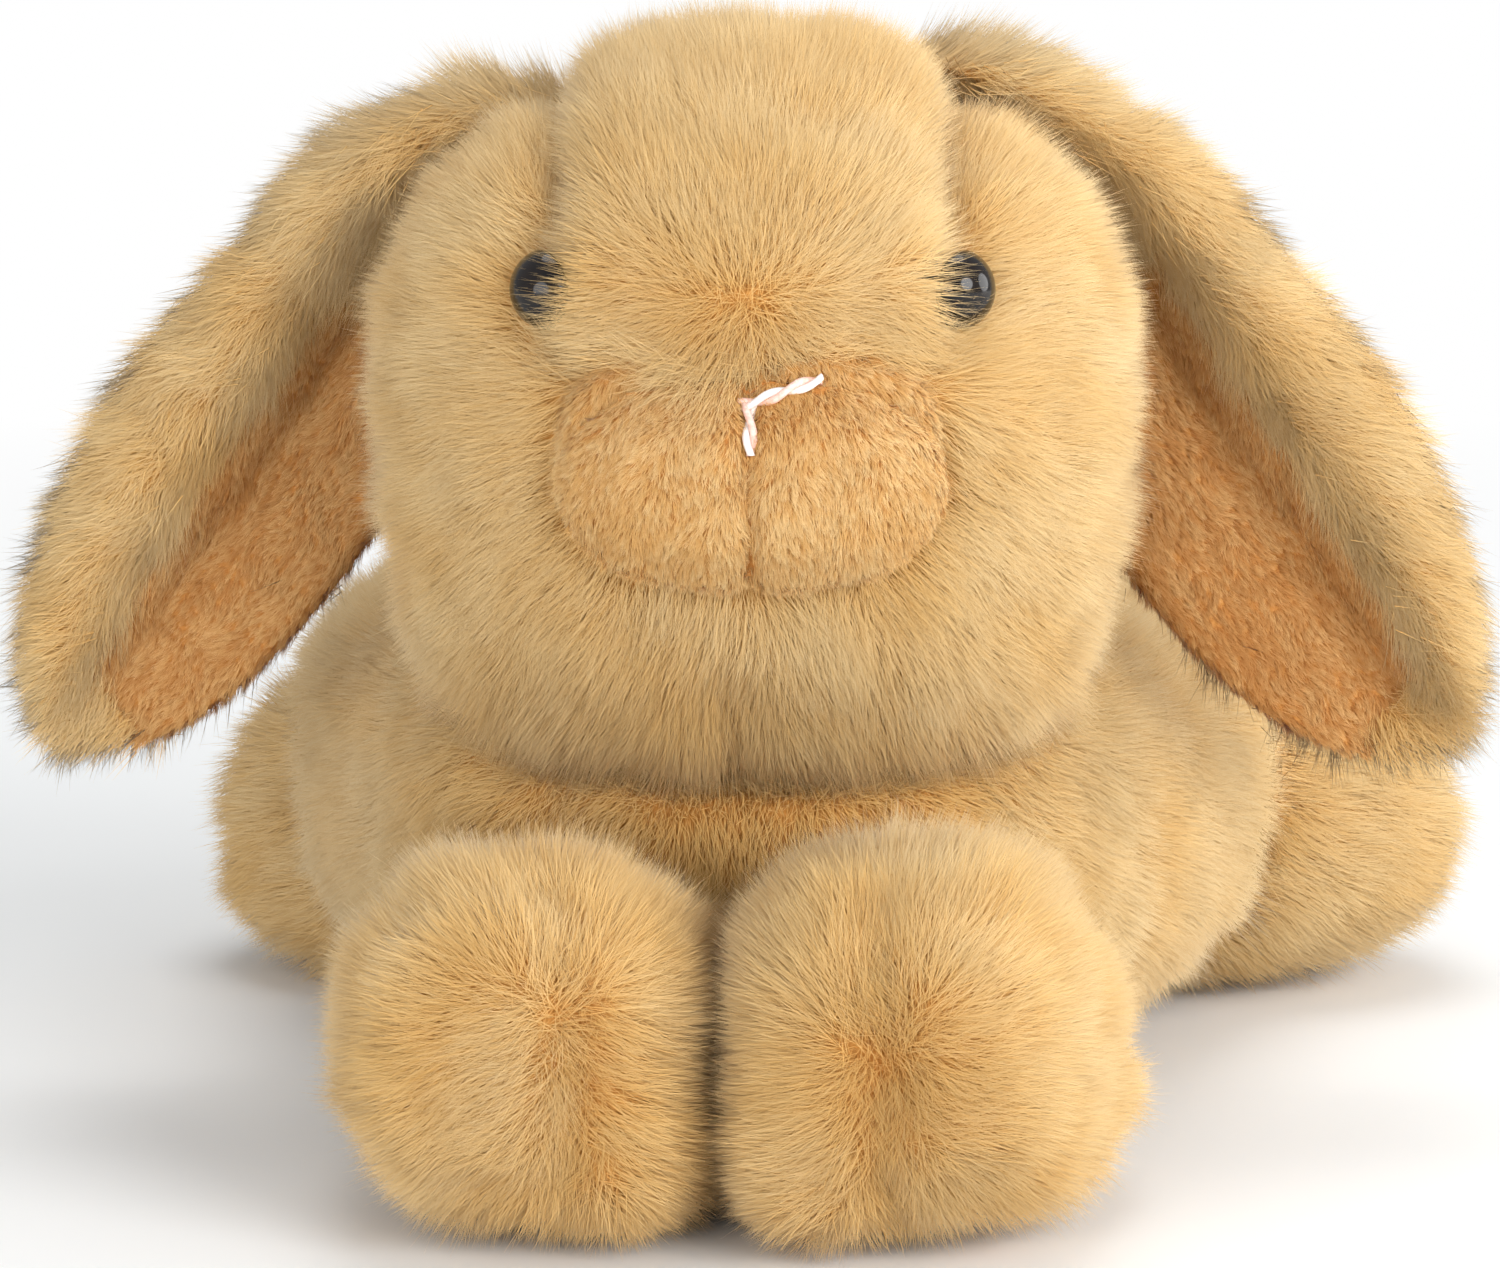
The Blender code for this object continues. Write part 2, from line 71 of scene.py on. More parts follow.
VELOUR_BED = 0.0006
FLOOR_CLEAR = 0.0002
OUTWARD = {"left": 1, "right": -1}

# How deep inside another skin a coat ends
NECK_HIDES = 0.008
LEG_HIDES = 0.012
EAR_HIDES = 0.020  # deeper, because a lifted ear bares its edge
MUZZLE_HIDES = 0.0015
FACE_HIDES = 0.003

# Head, in its own frame before it turns
HEAD_TURN = math.radians(4)
HEAD_FRONT = (-0.035, 0.01)  # ahead of the neck
CROWN_IN = 0.0026
CROWN_CORNER_IN = 0.0016  # further in beside the crown's middle
CROWN_CORNER_WIDTH = 0.008
PANEL_HALF = 0.0285  # from the middle of the forehead to the seams of its panel
PANEL_WIDENS = 0.0035  # up to the crown
PANEL_LOW = 0.127  # height where the panel's seams begin
PANEL_CREASES = {"left": 0.0062, "right": 0.0080}
PANEL_SWELL = 0.0030
PANEL_SWELLS_OVER = (0.130, 0.144)  # heights
PANEL_WIDENS_OVER = (0.14, 0.17)
CREASE_WIDTH = 0.0036
WHORL_RISE = 0.0140  # from the nose up to where the face's fur parts
BROW_SWELL = 0.0064  # of the panel beside an eye,
BROW_INWARD = 0.0080  # this far from its axis
BROW_WIDTH = 0.0070
SOCKET_DEPTH = 0.0036
SOCKET_WIDTH = 0.0100
EYE_BARE = 0.0066  # no fur grows this near to an eye's axis,
EYE_BARE_INSIDE = 0.0042  # or this near on the panel, whose fur hangs over the eye
EYE_AXIS = (-0.012, 0.02)  # from the eye's rim, the stretch of its axis that is bare
CHIN_SEAM_X = -0.003
CHIN_SEAM_TOP = 0.088
CHIN_CREASE = 0.0022
CHIN_FADE = 0.01  # height over which the chin's seam deepens
CHIN_LOW = 0.085  # height below which the fur is longer,
CHIN_LOW_FADE = 0.02
CHIN_LONGER = 0.55  # by this share
BROW_LONGER = 0.5
CREASE_SHORTER = 0.35
WHORL_UPRIGHT = 0.5
WHORL_WIDTH = 0.008
CHIN_PARTS = 0.6
# how much darker the fur is along the chin's seam: painted shade in its crease
CHIN_SEAM_PAINTED_SHADE = 0.3
FRINGE_LONGER = 0.8  # over the arm of the stitch that the fur hides
STITCH_BARED = 0.7  # how much shorter the fur is over the other arm

# Muzzle: how far its velour reaches up, down and aside, as shares of its CAD half sizes
MUZZLE_UP, MUZZLE_DOWN, MUZZLE_ASIDE = 1.18, 0.98, 0.965
MUZZLE_TOP_POWER = 3.6
MUZZLE_LOW_POWER = 2.1
MUZZLE_BACK = 0.03  # the velour ends this far behind the muzzle's middle
MUZZLE_NOTCH = 0.0050  # how much lower the velour's top edge is at the nose
MUZZLE_NOTCH_X = -0.0045
MUZZLE_NOTCH_WIDTH = 0.0090
MUZZLE_CREASE = 0.0018
MUZZLE_SEAM_WIDTH = 0.0015
MUZZLE_PARTING = 0.0005  # half the width of the bare line along the seam
# painted shade along the velour's middle seam, and a painted shadow under the fringe at its top
MUZZLE_SEAM_PAINTED_SHADE = 0.45
MUZZLE_TOP_PAINTED_SHADOW = 0.35

# Ears: the CAD's sheet, and how the skin and the lining lie on it
EAR_WIDTH = 0.054
EAR_ROOT_WIDTH = 0.034
EAR_REACH = 0.066
EAR_DROP = 0.102
EAR_FORWARD = 0.010
EAR_BOW_IN = 0.006
EAR_BOW_UP = 0.005
EAR_CUP = 0.012
EAR_FACE_IN = 0.25
EAR_HINGE_INSET = 0.002
EAR_EDGE_IN = 0.0034  # from the CAD's edge in to the skin's,
EAR_TOP_IN = 0.0034  # and further in on the upper half's outer side
EAR_MIDDLE = -0.0030  # height of the skin's middle off the sheet
EAR_HALF_DEPTH = 0.0028
EAR_ROOT_END = 0.12  # share where the round cap of the root begins,
EAR_ROOT_BACK = 0.06  # how far it reaches back past the hinge,
EAR_ROOT_IN = 0.0120  # how far it leans in over the head,
EAR_ROOT_DOWN = {"left": -0.0014, "right": 0.0045}  # and down
EAR_OUTER_IN = {"left": 0.0012, "right": 0.0}  # further in along the outer side,
EAR_INNER_SHARE = {"left": 0.95, "right": 0.80}  # the inner side's share of the sheet,
EAR_SKIN_END = {"left": 0.960, "right": 0.975}  # and where the skin ends along it
EAR_ROOT_SWELL = 0.0045
EAR_ROOT_LONGER = 0.35
EAR_WIDTHS = (0.94, 0.96, 0.62)  # shares of its width along the ear, after the root
EAR_END_SHARE = 0.22  # width of its blunt ends
EAR_END_POWER = 6
EAR_LEAN_SPAN = 0.2  # share of the ear over which the root's lean fades
EAR_RINGS = 44
EAR_SIDES = 32
EAR_ROLL = 0.0062  # how far the outer half swells forward,
EAR_ROLL_AT = 0.55
EAR_ROLL_WIDTH = 0.30
EAR_EDGE_BACK = 0.0080  # and its edge lies back,
EAR_LINED_IN = 0.0036  # while the lined part lies under its lining
LINING_SPAN = (0.16, 0.92)
LINING_EDGE = 0.95  # share of the ear's half width out to the lining's inner edge,
LINING_ACROSS = 0.40  # and across to here
LINING_RINGS = 70
LINING_SIDES = 30
LINING_HEIGHT = 0.0016
LINING_BACK = -0.0028
LINING_FOLD = 0.0034
LINING_FOLD_AT = -0.16  # across the ear
LINING_STARTS = {"left": 0.21, "right": 0.29}  # where the fur's edge opens, along the ear
LINING_TAPER = 0.45  # how much narrower it is at its hidden start, across the ear
LINING_ENDS = (0.86, 0.92)
# tone of each lining: painted light on the right ear's, which the head shades, and painted shade on the
# left ear's
LINING_PAINTED_LIGHT_AND_SHADE = {"left": -0.15, "right": 0.25}
FUR_EDGE = 0.22  # across the ear

# Front legs: seams of the paws' fronts, and how much further in the skins lie
PAW_SEAM_X = {"left": 0.0255, "right": -0.0182}
PAW_SEAM_LEAN = {"left": -0.002, "right": -0.007}  # of a seam above its parting
PAW_PARTING = {"left": (0.010, 0.031), "right": (0.015, 0.039)}  # heights where the fur parts
PAW_PARTING_WIDTH = 0.0036
PAW_CREASE = 0.0024
PAW_TOP_IN = {"left": 0.0020, "right": 0.0045}
PAW_SIDE_IN = 0.0044
PAW_CORNER_IN = {"left": -0.0006, "right": 0.0036}
PAW_INNER_OUT = 0.0066
PAW_TOE_IN = 0.0022
TOE_TOP = 0.016  # height below which the fur is shorter,
TOE_FADE = 0.010
TOE_SHORTER = 0.2  # by this share
PARTING_SHORTER = 0.45
PARTING_UPRIGHT = 0.45
# painted shade in the parting of a paw's fur and along its seam's crease
PARTING_PAINTED_SHADE = 0.55
PAW_SEAM_PAINTED_SHADE = 0.35
FRONT_FACING = (0.1, 0.6)  # how far a normal looks ahead, for a paw's front

# Body: its right shoulder swells, and its chest has short fur, darker with painted shade below the chin
SHOULDER_OUT = 0.0042
SHOULDER_ASIDE = (0.025, 0.045)  # from the body's middle
CHEST_HALF = 0.055  # of its width
CHEST_FADE = 0.03
CHEST_SHORTER = 0.3
# how much darker the chest's fur is: painted shade below the chin
CHEST_PAINTED_SHADE = 0.6

# Hind legs: how much further in the outer sides lie, and how much more above and below
HIND_SIDE_IN = {"left": 0.0016, "right": 0.0052}
HIND_TOP_IN = {"left": 0.0020, "right": 0.0060}
HIND_LOW_IN = {"left": 0.0010, "right": -0.0095}

# Limbs, each with two spots about the seam where it joins the trunk; their pieces keep their place in the
# model's frame, unattached, and the spots are not read here
LIMB_BENDS = {
    "front_leg_left": ((0, -0.086, 0), (0, -0.114, 0)),
    "front_leg_right": ((0, -0.086, 0), (0, -0.114, 0)),
    "hind_leg_left": ((0.074, 0, 0), (0.104, 0, 0)),
    "hind_leg_right": ((-0.070, 0, 0), (-0.100, 0, 0)),
    "tail": ((0, 0.096, 0), (0, 0.118, 0)),
}

# Velour: short streaks, as waves that are stretched along the pile
STREAK_WIDTH = 0.0012
STREAK_STRETCH = 0.030
STREAK_TONE = 0.35

# Nose stitches: two plies twisted about each other
PLY_RADIUS = 0.00058
PLY_TWIST = 0.0100  # length of one turn
STITCH_RISE_TO = 0.0040
STITCH_DROP = 0.0032  # of the nose below the CAD's
STITCH_SUNK = 0.0036  # of the arm that the fur hides, into the cloth
STITCH_SHOWS_AT = 0.0065  # from the nose along the arm that the fur leaves free
THREAD_STEPS = 60
THREAD_SIDES = 10

# Photograph's frame and camera
FRAME_WIDTH = 1500
FOCAL_PIXELS = 6030
SENSOR_WIDTH = 36.0
CAMERA_AZIMUTH = math.radians(4.5)
CAMERA_RISE = math.radians(10.7)
CAMERA_REACH = 0.9
CAMERA_TARGET = Vector((0.003, -0.110, 0.0865))

# Coats: how far tufts and strands differ, with ripples as an amount and a wavelength
TUFT_SWIRL = 0.08
TUFT_LIFT = 0.06
TUFT_LENGTH = 0.06
LIFT_RIPPLE = (0.10, 0.006)
LENGTH_RIPPLE = (0.10, 0.010)
TONE_RIPPLE = (0.16, 0.020)
STRAND_LIFT = 0.15
STRAND_TONE = 0.12
STRAND_LENGTHS = (0.72, 1.08)
STRAND_WIDTHS = (0.7, 1.2)
STRAND_ROLL = 0.9
SHARE_OF_COAT = 1.0
MOST_STRANDS = 60000  # in one piece
TONE_STEP = 0.004  # width of a strand on its colour map
MAP_NAME = "OFBake"
SKIN_SHADE = 0.8  # how much a strand is shaded as the skin below it is
PRESSED_NORMAL = -0.8  # low faces that look down lie on the floor, with fewer strands
PRESSED_HEIGHT = 0.012
PRESSED_SHARE = 0.7
EYE_SIDES = 48

# Studio
FLOOR_RADIUS = 6.0
FLOOR_FADE = (0.25, 0.7)
SKY_LIGHT = 0.52
LAMPS = (
    ("key", (1.10, -1.30, 0.75), 1.0, 20),
    ("side", (1.40, 0.10, 0.45), 0.9, 9),
    ("fill", (-0.6, -1.5, 0.22), 1.2, 13),
    ("top", (0.0, 0.2, 1.5), 1.0, 7),
)

joints = {joint["name"]: joint for joint in frame["joints"]}
neck = np.array(joints["head_turn"]["pos_m"])


def unit(rows):
    return rows / np.maximum(np.linalg.norm(rows, axis=-1, keepdims=True), 1e-9)


def ease(value, low, high):
    share = np.clip((value - low) / (high - low), 0, 1)
    return share * share * (3 - 2 * share)


def bell(value, width):
    return np.exp(-((value / width) ** 2))


def far_from(spot, rows):
    return np.linalg.norm(rows - spot, axis=1)


def turned(rows, angle):
    """Rows turned about the upright axis of the neck."""
    cos, sin = math.cos(angle), math.sin(angle)
    flat = rows - neck
    x = cos * flat[:, 0] - sin * flat[:, 1]
    y = sin * flat[:, 0] + cos * flat[:, 1]
    return np.stack([x, y, flat[:, 2]], axis=1) + neck


def straight(rows):
    """Rows in the head's own frame, before it turns."""
    return turned(rows, -HEAD_TURN)


def with_head(ways):
    """Ways in the head's own frame, turned with it."""
    return turned(ways + neck, HEAD_TURN) - neck


def circle(sides):
    return np.arange(sides) * 2 * math.pi / sides


def along(points, share):
    """Rows, or numbers, on a smooth curve through evenly spaced points."""
    last = len(points) - 1
    index = np.clip((share * last).astype(int), 0, last - 1)
    step = share * last - index
    before, here, there, after = (points[np.clip(index + k, 0, last)] for k in (-1, 0, 1, 2))
    if points.ndim > 1:
        step = step[:, None]
    pull = (there - before) * step
    bend = (2 * before - 5 * here + 4 * there - after) * step**2
    turn = (3 * here - before - 3 * there + after) * step**3
    return (2 * here + pull + bend + turn) / 2


class Ripple:
    """Smooth repeatable noise, mostly from -1 to 1: waves in random directions."""

    def __init__(self, seed, wavelength, waves=9):
        rng = np.random.default_rng(seed)
        lengths = wavelength * rng.uniform(0.7, 1.5, (waves, 1))
        self.reach = unit(rng.normal(size=(waves, 3))) * 2 * math.pi / lengths
        self.phase = rng.uniform(0, 2 * math.pi, waves)
        self.scale = math.sqrt(2 / waves)

    def __call__(self, rows):
        return np.sin(rows @ self.reach.T + self.phase).sum(axis=1) * self.scale


def rippled(seed, ripple, rows):
    amount, wavelength = ripple
    return amount * Ripple(seed, wavelength)(rows)


def hull_mesh(node):
    """Tight mesh around a CAD node."""
    bm = bmesh.new()
    bm.from_mesh(frame["nodes"][node].data)
    made = bmesh.ops.convex_hull(bm, input=bm.verts, use_existing_faces=False)
    kept = {face for face in made["geom"] if isinstance(face, bmesh.types.BMFace)}
    bmesh.ops.delete(bm, geom=[f for f in bm.faces if f not in kept], context="FACES_ONLY")
    bmesh.ops.delete(bm, geom=[v for v in bm.verts if not v.link_faces], context="VERTS")
    bmesh.ops.recalc_face_normals(bm, faces=bm.faces)
    mesh = bpy.data.meshes.new(node)
    bm.to_mesh(mesh)
    bm.free()
    return mesh


def link(name, mesh):
    made = bpy.data.objects.new(name, mesh)
    bpy.context.scene.collection.objects.link(made)
    return made


def attach(piece, body):
    """A piece rides on a body, but a limb's piece keeps its place in the model's frame, unattached."""
    if body in LIMB_BENDS:
        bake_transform(piece)
    else:
        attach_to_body(piece, body)


def dress(piece, material, body, slot, *nodes):
    """Material and body of a piece that stands for CAD nodes."""
    piece.data.materials.clear()
    piece.data.materials.append(material)
    attach(piece, body)
    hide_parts(*nodes)


def rows_of(items, name, kind):
    """Rows of three that a mesh keeps in its items."""
    flat = np.empty(len(items) * 3, dtype=kind)
    items.foreach_get(name, flat)
    return flat.reshape(-1, 3)


class Skin:
    """A closed skin, which coats grow from. Marks are values at its corners."""

    def __init__(self, name, mesh, marks=None):
        self.mesh = mesh
        self.object = link(name, mesh)
        self.marks = marks
        mesh.shade_smooth()
        self.read()

    def move(self, spots):
        spots[:, 2] = np.maximum(spots[:, 2], FLOOR_CLEAR)
        self.mesh.vertices.foreach_set("co", spots.astype(np.float32).ravel())
        self.mesh.update()
        self.read()

    def read(self):
        self.mesh.calc_loop_triangles()
        self.spots = rows_of(self.mesh.vertices, "co", np.float32).astype(float)
        self.normals = rows_of(self.mesh.vertex_normals, "vector", np.float32).astype(float)
        self.corners = rows_of(self.mesh.loop_triangles, "vertices", np.int32)
        self.tree = BVHTree.FromPolygons(self.spots.tolist(), self.corners.tolist())

    def scatter(self, rng, density):
        """Even random spots on the skin, with its normals there."""
        a, b, c = (self.spots[self.corners[:, k]] for k in range(3))
        area = np.linalg.norm(np.cross(b - a, c - a), axis=1) / 2
        ends = np.cumsum(area)
        count = int(ends[-1] * density * SHARE_OF_COAT)
        steps = (np.arange(count) + rng.random(count)) / count * ends[-1]
        face = np.minimum(np.searchsorted(ends, steps), len(area) - 1)
        u = np.sqrt(rng.random((count, 1)))
        v = rng.random((count, 1))
        weights = (1 - u, u * (1 - v), u * v)

        def spread(rows):
            return sum(w * rows[self.corners[face, k]] for k, w in enumerate(weights))

        marks = None if self.marks is None else spread(self.marks)
        return spread(self.spots), unit(spread(self.normals)), marks

    def holds(self, spots, depth):
        """Which spots lie more than a depth inside the skin."""
        inside = np.zeros(len(spots), dtype=bool)
        low = self.spots.min(axis=0)
        high = self.spots.max(axis=0)
        near = np.all((spots > low) & (spots < high), axis=1)
        for k in np.flatnonzero(near):
            spot = Vector(spots[k])
            found, normal, _, _ = self.tree.ray_cast(spot, Vector((0, 0, 1)))
            inside[k] = found and normal.z > 0 and self.tree.find_nearest(spot)[3] > depth
        return inside


def node_skin(title, bed, dent=None, voxel=SKIN_VOXEL, rounds=SKIN_ROUNDS):
    """A smooth skin inside a CAD cover, with its dents."""
    name = f"{title}_skin"
    rough = link(name, hull_mesh(f"{title}_cover"))
    remesh = rough.modifiers.new("even", "REMESH")
    remesh.mode = "VOXEL"
    remesh.voxel_size = voxel
    smooth = rough.modifiers.new("smooth", "SMOOTH")
    smooth.iterations = rounds
    graph = bpy.context.evaluated_depsgraph_get()
    mesh = bpy.data.meshes.new_from_object(rough.evaluated_get(graph))
    bpy.data.objects.remove(rough)
    skin = Skin(name, mesh)
    depth = np.full(len(skin.spots), bed)
    if dent:
        depth = depth + dent(skin.spots, skin.normals)
    skin.move(skin.spots - skin.normals * depth[:, None])
    return skin


def loft_mesh(name, rings):
    """Closed mesh through rings of as many points each, with a point at either end."""
    count, sides = rings.shape[:2]
    ends = [rings[0].mean(axis=0), rings[-1].mean(axis=0)]
    spots = np.concatenate([rings.reshape(-1, 3), ends])
    faces = []
    for j in range(sides):
        k = (j + 1) % sides
        faces.append((count * sides, k, j))
        faces.append((count * sides + 1, (count - 1) * sides + j, (count - 1) * sides + k))
        for i in range(count - 1):
            faces.append((i * sides + j, i * sides + k, (i + 1) * sides + k, (i + 1) * sides + j))
    mesh = bpy.data.meshes.new(name)
    mesh.from_pydata(spots.tolist(), [], faces)
    bm = bmesh.new()
    bm.from_mesh(mesh)
    bmesh.ops.recalc_face_normals(bm, faces=bm.faces)
    bm.to_mesh(mesh)
    bm.free()
    return mesh


Strand = namedtuple("Strand", "faces across along")
SPIKE = Strand(faces=(0, 1, 3, 1, 2, 3, 2, 0, 3), across=(0, 0.5, 1, 0.5), along=(0.02, 0.02, 0.02, 0.98))
BLADE = Strand(faces=(0, 1, 2), across=(0, 1, 0.5), along=(0.02, 0.02, 0.98))


def strands_mesh(name, kind, spots, normals, tones):
    """Mesh of strands: each has three or two corners at its root, and its tip."""
    count, corners = spots.shape[:2]
    faces = np.array(kind.faces)
    mesh = bpy.data.meshes.new(name)
    mesh.vertices.add(count * corners)
    mesh.vertices.foreach_set("co", spots.astype(np.float32).ravel())
    mesh.loops.add(count * len(faces))
    loops = faces + corners * np.arange(count)[:, None]
    mesh.loops.foreach_set("vertex_index", loops.astype(np.int32).ravel())
    mesh.polygons.add(loops.size // 3)
    mesh.polygons.foreach_set("loop_start", np.arange(0, loops.size, 3, dtype=np.int32))
    mesh.update(calc_edges=True)
    mesh.shade_smooth()
    places = np.empty((*loops.shape, 2), dtype=np.float32)
    places[..., 0] = tones[:, None] * (1 - TONE_STEP) + np.array(kind.across)[faces] * TONE_STEP
    places[..., 1] = np.array(kind.along)[faces]
    layer = mesh.uv_layers.new(name=MAP_NAME)
    layer.uv.foreach_set("vector", places.ravel())
    own = mesh.attributes.new("custom_normal", "FLOAT_VECTOR", "POINT")
    own.data.foreach_set("vector", normals.astype(np.float32).ravel())
    return mesh


Patch = namedtuple("Patch", "spots normals marks")


@dataclass
class Coat:
    """How a pile grows: tufts of strands that lean along the skin and gather at their tips."""

    material: bpy.types.Material
    slot: str
    tufts: float = 260e3  # on a square metre
    each: int = 22  # strands in a tuft
    spread: float = 0.0017
    length: float = 0.0090
    width: float = 0.00022
    lift: float = 0.74  # angle off the skin
    gather: float = 0.16
    stray: float = 0.22
    swirl: float = 0.25
    wave: float = 0.014
    tone: float = 0.5
    mottle: float = 0.07
    kind: Strand = SPIKE


def grow(name, skin, coat, flow, body, seed, bare=None, trim=None, tint=None, rise=None):
    """Strands of one coat on a skin, as pieces that ride on a body."""
    rng = np.random.default_rng(seed)
    patch = Patch(*skin.scatter(rng, coat.tufts))
    pressed = (patch.normals[:, 2] < PRESSED_NORMAL) & (patch.spots[:, 2] < PRESSED_HEIGHT)
    keep = rng.random(len(patch.spots)) > PRESSED_SHARE * pressed
    if bare:
        keep &= ~bare(patch)
    patch = Patch(*(None if rows is None else rows[keep] for rows in patch))
    roots, normals, _ = patch
    count = len(roots)
    ahead = flow(patch)
    ahead = unit(ahead - (ahead * normals).sum(axis=1, keepdims=True) * normals)
    beside = np.cross(normals, ahead)
    swirl = coat.swirl * Ripple(seed + 1, coat.wave)(roots) + rng.normal(0, TUFT_SWIRL, count)
    ahead = ahead * np.cos(swirl)[:, None] + beside * np.sin(swirl)[:, None]
    beside = np.cross(normals, ahead)
    lift = coat.lift + rippled(seed + 2, LIFT_RIPPLE, roots) + rng.normal(0, TUFT_LIFT, count)
    if rise:
        lift = lift + rise(patch)
    longer = rippled(seed + 3, LENGTH_RIPPLE, roots) + rng.normal(0, TUFT_LENGTH, count)
    length = coat.length * (1 + longer)
    if trim:
        length = length * trim(patch)
    tone = coat.tone + rippled(seed + 4, TONE_RIPPLE, roots) + rng.normal(0, coat.mottle, count)
    if tint:
        tone = tone + tint(patch)

    shape = (count, coat.each)
    offsets = rng.normal(0, coat.spread, (*shape, 2))
    roots = roots[:, None] + offsets[..., :1] * ahead[:, None] + offsets[..., 1:] * beside[:, None]
    stray = rng.normal(0, coat.stray, shape)[..., None]
    heading = ahead[:, None] * np.cos(stray) + beside[:, None] * np.sin(stray)
    up = np.broadcast_to(normals[:, None], heading.shape)
    reach = (length[:, None] * rng.uniform(*STRAND_LENGTHS, shape))[..., None]
    angle = (lift[:, None] + rng.normal(0, STRAND_LIFT, shape))[..., None]
    rising = np.cos(angle) * heading + np.sin(angle) * up
    shift = roots - roots.mean(axis=1, keepdims=True)
    tips = roots + reach * rising - coat.gather * shift
    wide = np.cross(heading, up)
    thick = np.cross(rising, wide)
    half = (coat.width * rng.uniform(*STRAND_WIDTHS, shape))[..., None] / 2
    roll = rng.uniform(-STRAND_ROLL, STRAND_ROLL, shape)[..., None]
    sides = [math.pi, 0] if coat.kind is BLADE else circle(3)
    outs = [wide * np.cos(roll + turn) + thick * np.sin(roll + turn) for turn in sides]
    spots = np.stack([*(roots + half * out for out in outs), tips], axis=2)
    spots[..., 2] = np.maximum(spots[..., 2], FLOOR_CLEAR)
    shade = np.stack([*(unit(SKIN_SHADE * up + (1 - SKIN_SHADE) * out) for out in outs), up], axis=2)
    tones = np.clip(tone[:, None] + rng.normal(0, STRAND_TONE, shape), 0, 1)

    middle = skin.spots.mean(axis=0)
    around = np.arctan2(patch.spots[:, 0] - middle[0], patch.spots[:, 1] - middle[1])
    order = np.argsort(around, kind="stable")
    parts = max(1, math.ceil(count * coat.each / MOST_STRANDS))
    for k, chosen in enumerate(np.array_split(order, parts)):
        title = f"{name}_{k + 1}" if parts > 1 else name
        corners, facing = (rows[chosen].reshape(-1, *rows.shape[2:]) for rows in (spots, shade))
        mesh = strands_mesh(title, coat.kind, corners, facing, tones[chosen].ravel())
        mesh.materials.append(coat.material)
        piece = link(title, mesh)
        attach(piece, body)


def new_material(name):
    made = bpy.data.materials.new(name)
    made.use_nodes = True
    return made, made.node_tree, made.node_tree.nodes["Principled BSDF"]


def settings(node, **values):
    """Inputs of a node, whose names have spaces for underscores."""
    for name, value in values.items():
        node.inputs[name.replace("_", " ")].default_value = value


def new_node(tree, kind, *sources):
    """A shader node, with outputs of others linked to its first inputs."""
    made = tree.nodes.new(f"ShaderNode{kind}")
    for source, place in zip(sources, made.inputs):
        tree.links.new(source, place)
    return made


def ramp(tree, source, stops):
    node = new_node(tree, "ValToRGB", source)
    node.color_ramp.interpolation = "EASE"
    for k, (place, colour) in enumerate(stops):
        stop = node.color_ramp.elements[k] if k < 2 else node.color_ramp.elements.new(place)
        stop.position = place
        stop.color = (*colour, 1.0)
    return node.outputs["Color"]


def pile_material(name, deep, pale, sheen):
    """Colour of a strand: from root to tip between a deep and a pale tone; the deeper roots are partly the
    pile's own tone and partly painted shade deep in the pile.
    """
    made, tree, shader = new_material(name)
    place = new_node(tree, "UVMap")
    place.uv_map = MAP_NAME
    split = new_node(tree, "SeparateXYZ", place.outputs["UV"])
    mix = new_node(tree, "Mix")
    mix.data_type = "RGBA"
    tree.links.new(split.outputs["X"], mix.inputs["Factor"])
    tree.links.new(ramp(tree, split.outputs["Y"], deep), mix.inputs["A"])
    tree.links.new(ramp(tree, split.outputs["Y"], pale), mix.inputs["B"])
    tree.links.new(mix.outputs["Result"], shader.inputs["Base Color"])
    settings(shader, Roughness=0.75, Specular_IOR_Level=0.25)
    settings(shader, Sheen_Weight=sheen, Sheen_Roughness=0.5, Sheen_Tint=(1.0, 0.93, 0.82, 1.0))
    return made


def mottled_material(name, deep, pale, scale, roughness, coat=0.0):
    """Colour that drifts between two tones, for cloth backing, thread and plastic."""
    made, tree, shader = new_material(name)
    place = new_node(tree, "TexCoord")
    noise = new_node(tree, "TexNoise", place.outputs["Object"])
    settings(noise, Scale=scale, Detail=4.0)
    colour = ramp(tree, noise.outputs["Fac"], [(0.3, deep), (0.7, pale)])
    tree.links.new(colour, shader.inputs["Base Color"])
    settings(shader, Roughness=roughness, Specular_IOR_Level=0.3, Coat_Weight=coat, Coat_Roughness=0.04)
    return made


# roots deeper than tips: partly the pile's own tone, partly painted shade deep in the pile
fur = pile_material(
    "fur_pile",
    deep=[(0.0, (0.66, 0.31, 0.07)), (0.45, (0.78, 0.45, 0.14)), (1.0, (0.86, 0.56, 0.22))],
    pale=[(0.0, (0.72, 0.41, 0.13)), (0.45, (0.85, 0.58, 0.26)), (1.0, (0.93, 0.71, 0.40))],
    sheen=0.25,
)
muzzle_pile = pile_material(
    "muzzle_pile",
    deep=[(0.0, (0.60, 0.26, 0.06)), (0.5, (0.74, 0.41, 0.13)), (1.0, (0.84, 0.52, 0.20))],
    pale=[(0.0, (0.68, 0.36, 0.11)), (0.5, (0.86, 0.56, 0.23)), (1.0, (0.95, 0.70, 0.36))],
    sheen=0.2,
)
lining_pile = pile_material(
    "lining_pile",
    deep=[(0.0, (0.46, 0.16, 0.03)), (0.5, (0.58, 0.26, 0.07)), (1.0, (0.68, 0.35, 0.11))],
    pale=[(0.0, (0.54, 0.22, 0.05)), (0.5, (0.70, 0.38, 0.13)), (1.0, (0.86, 0.55, 0.24))],
    sheen=0.2,
)
fur_cloth = mottled_material("fur_backing", (0.58, 0.26, 0.06), (0.68, 0.34, 0.09), 900, 0.95)
velour_cloth = mottled_material("velour_backing", (0.54, 0.22, 0.05), (0.64, 0.30, 0.08), 1400, 0.95)
eye_plastic = mottled_material("eye_gloss", (0.006, 0.005, 0.005), (0.014, 0.009, 0.007), 300, 0.10, 0.15)
washer_plastic = mottled_material("washer_plastic", (0.80, 0.80, 0.77), (0.88, 0.88, 0.85), 400, 0.45)
white_thread = mottled_material("thread_white", (0.88, 0.80, 0.76), (0.95, 0.92, 0.90), 1500, 0.55)
pink_thread = mottled_material("thread_pink", (0.86, 0.52, 0.42), (0.94, 0.72, 0.64), 1500, 0.55)

